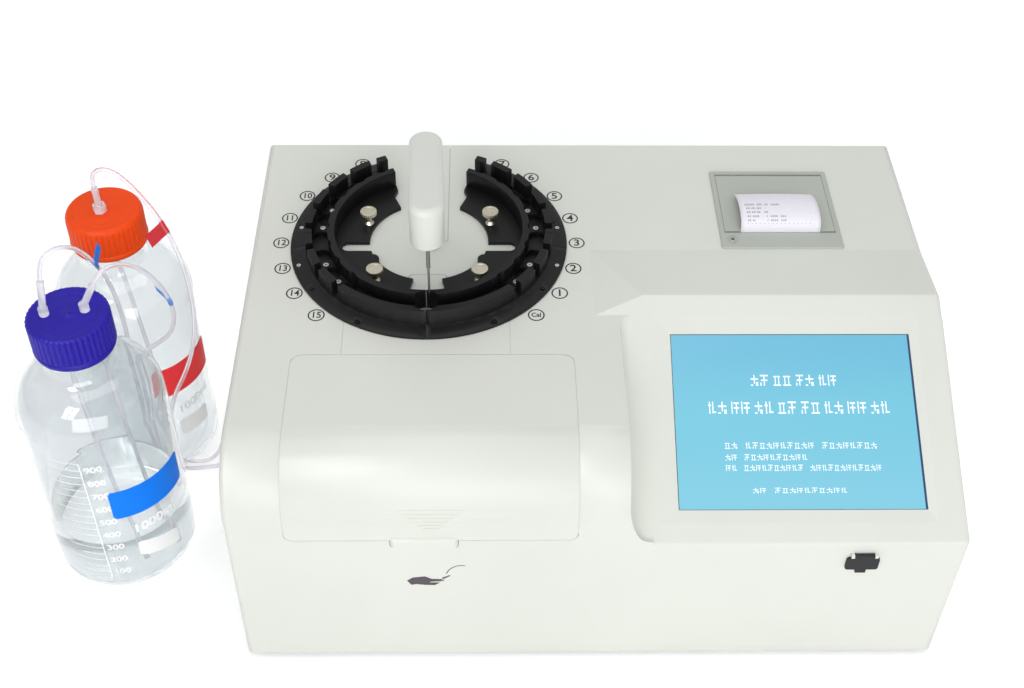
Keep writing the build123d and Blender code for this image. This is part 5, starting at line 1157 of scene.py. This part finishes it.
free_tubes()
for name, bottle, top, foot, lean in (
        ("dip_tube_left", BUFFER, (-0.010, 0.003, 0.2255), (0.012, -0.014, 0.006), (-0.006, 0.0, 0.0)),
        ("dip_tube_right", BUFFER, (0.012, 0.004, 0.2255), (0.030, -0.004, 0.007), (-0.004, 0.002, 0.0)),
        ("dip_tube_waste", WASTE, (-0.002, -0.002, 0.2255), (0.020, -0.020, 0.008), (0.004, 0.004, 0.0))):
    dip_tube(name, bottle + Vector(top), bottle + Vector(foot), Vector(lean))

# -------- floor, backdrop and light


def bright_ground():
    """A pale floor that keeps the object's shadow and looks white to the camera, gloss and glass."""
    s = Surface("ground")
    s.colour((0.86, 0.86, 0.86))
    s.set(rough=0.8)
    rays = s.nodes.new("ShaderNodeLightPath").outputs
    seen = s.math("MAXIMUM", rays["Is Camera Ray"], rays["Is Glossy Ray"])
    seen = s.math("MAXIMUM", seen, rays["Is Transmission Ray"])
    s.shader.inputs["Emission Color"].default_value = (1.0, 1.0, 1.0, 1.0)
    s.join(s.math("MULTIPLY", seen, 0.32), s.shader.inputs["Emission Strength"])
    mesh = bpy.data.meshes.new("ground")
    reach = 6
    corners = [(-reach, -reach, 0), (reach, -reach, 0), (reach, reach, 0), (-reach, reach, 0)]
    mesh.from_pydata(corners, [], [(0, 1, 2, 3)])
    mesh.materials.append(s.material)
    add_object("ground", mesh)


def bright_world():
    """Even light from all round, which looks white to the camera and through glass."""
    world = bpy.data.worlds.new("studio")
    bpy.context.scene.world = world
    world.use_nodes = True
    nodes, links = world.node_tree.nodes, world.node_tree.links
    nodes.clear()
    mix = nodes.new("ShaderNodeMixShader")
    for slot, colour, strength in ((1, (0.98, 0.99, 1.0, 1), 0.62), (2, (1, 1, 1, 1), 1.0)):
        light = nodes.new("ShaderNodeBackground")
        light.inputs["Color"].default_value = colour
        light.inputs["Strength"].default_value = strength
        links.new(light.outputs[0], mix.inputs[slot])
    rays = nodes.new("ShaderNodeLightPath").outputs
    either = nodes.new("ShaderNodeMath")
    either.operation = "MAXIMUM"
    links.new(rays["Is Camera Ray"], either.inputs[0])
    links.new(rays["Is Transmission Ray"], either.inputs[1])
    links.new(either.outputs[0], mix.inputs["Fac"])
    links.new(mix.outputs[0], nodes.new("ShaderNodeOutputWorld").inputs["Surface"])


def lamp(name, place, target, size, power):
    """A rectangular lamp that faces a target."""
    data = bpy.data.lights.new(name, "AREA")
    data.shape = "RECTANGLE"
    data.size, data.size_y = size
    data.energy = power
    holder = add_object(name, data)
    holder.location = place
    holder.rotation_euler = (Vector(target) - Vector(place)).to_track_quat("-Z", "Y").to_euler()
    return holder


def window_panes():
    """A tall window at the front left: two by three panes, seen as bright squares in the gloss."""
    centre = Vector((-0.85, -1.05, 1.35))
    aim = Vector((-0.33, -0.06, 0.18))
    facing = (aim - centre).normalized()
    across = facing.cross(Vector((0, 0, 1))).normalized()
    up = across.cross(facing)
    pitch_across, pitch_up = 0.24, 0.26
    for i in (-0.5, 0.5):
        for j in (-1, 0, 1):
            place = centre + across * (i * pitch_across) + up * (j * pitch_up)
            pane = lamp(f"pane_{int(i * 2 + 1)}_{j + 1}", place, place + facing, (0.19, 0.21), 2.4)
            pane.visible_diffuse = False


bright_ground()
bright_world()
lamp("soft_front", (0.1, -2.4, 1.15), (-0.05, 0.0, 0.1), (2.4, 1.4), 35.0)
lamp("soft_top", (-0.2, 0.3, 2.6), (0.0, 0.0, 0.1), (2.2, 1.6), 14.5)
window_panes()
bpy.context.scene.view_settings.view_transform = "Standard"
cycles = bpy.context.scene.cycles  # light goes through both walls of both bottles
cycles.max_bounces = 32
cycles.glossy_bounces = 16
cycles.transmission_bounces = 28
cycles.transparent_max_bounces = 32
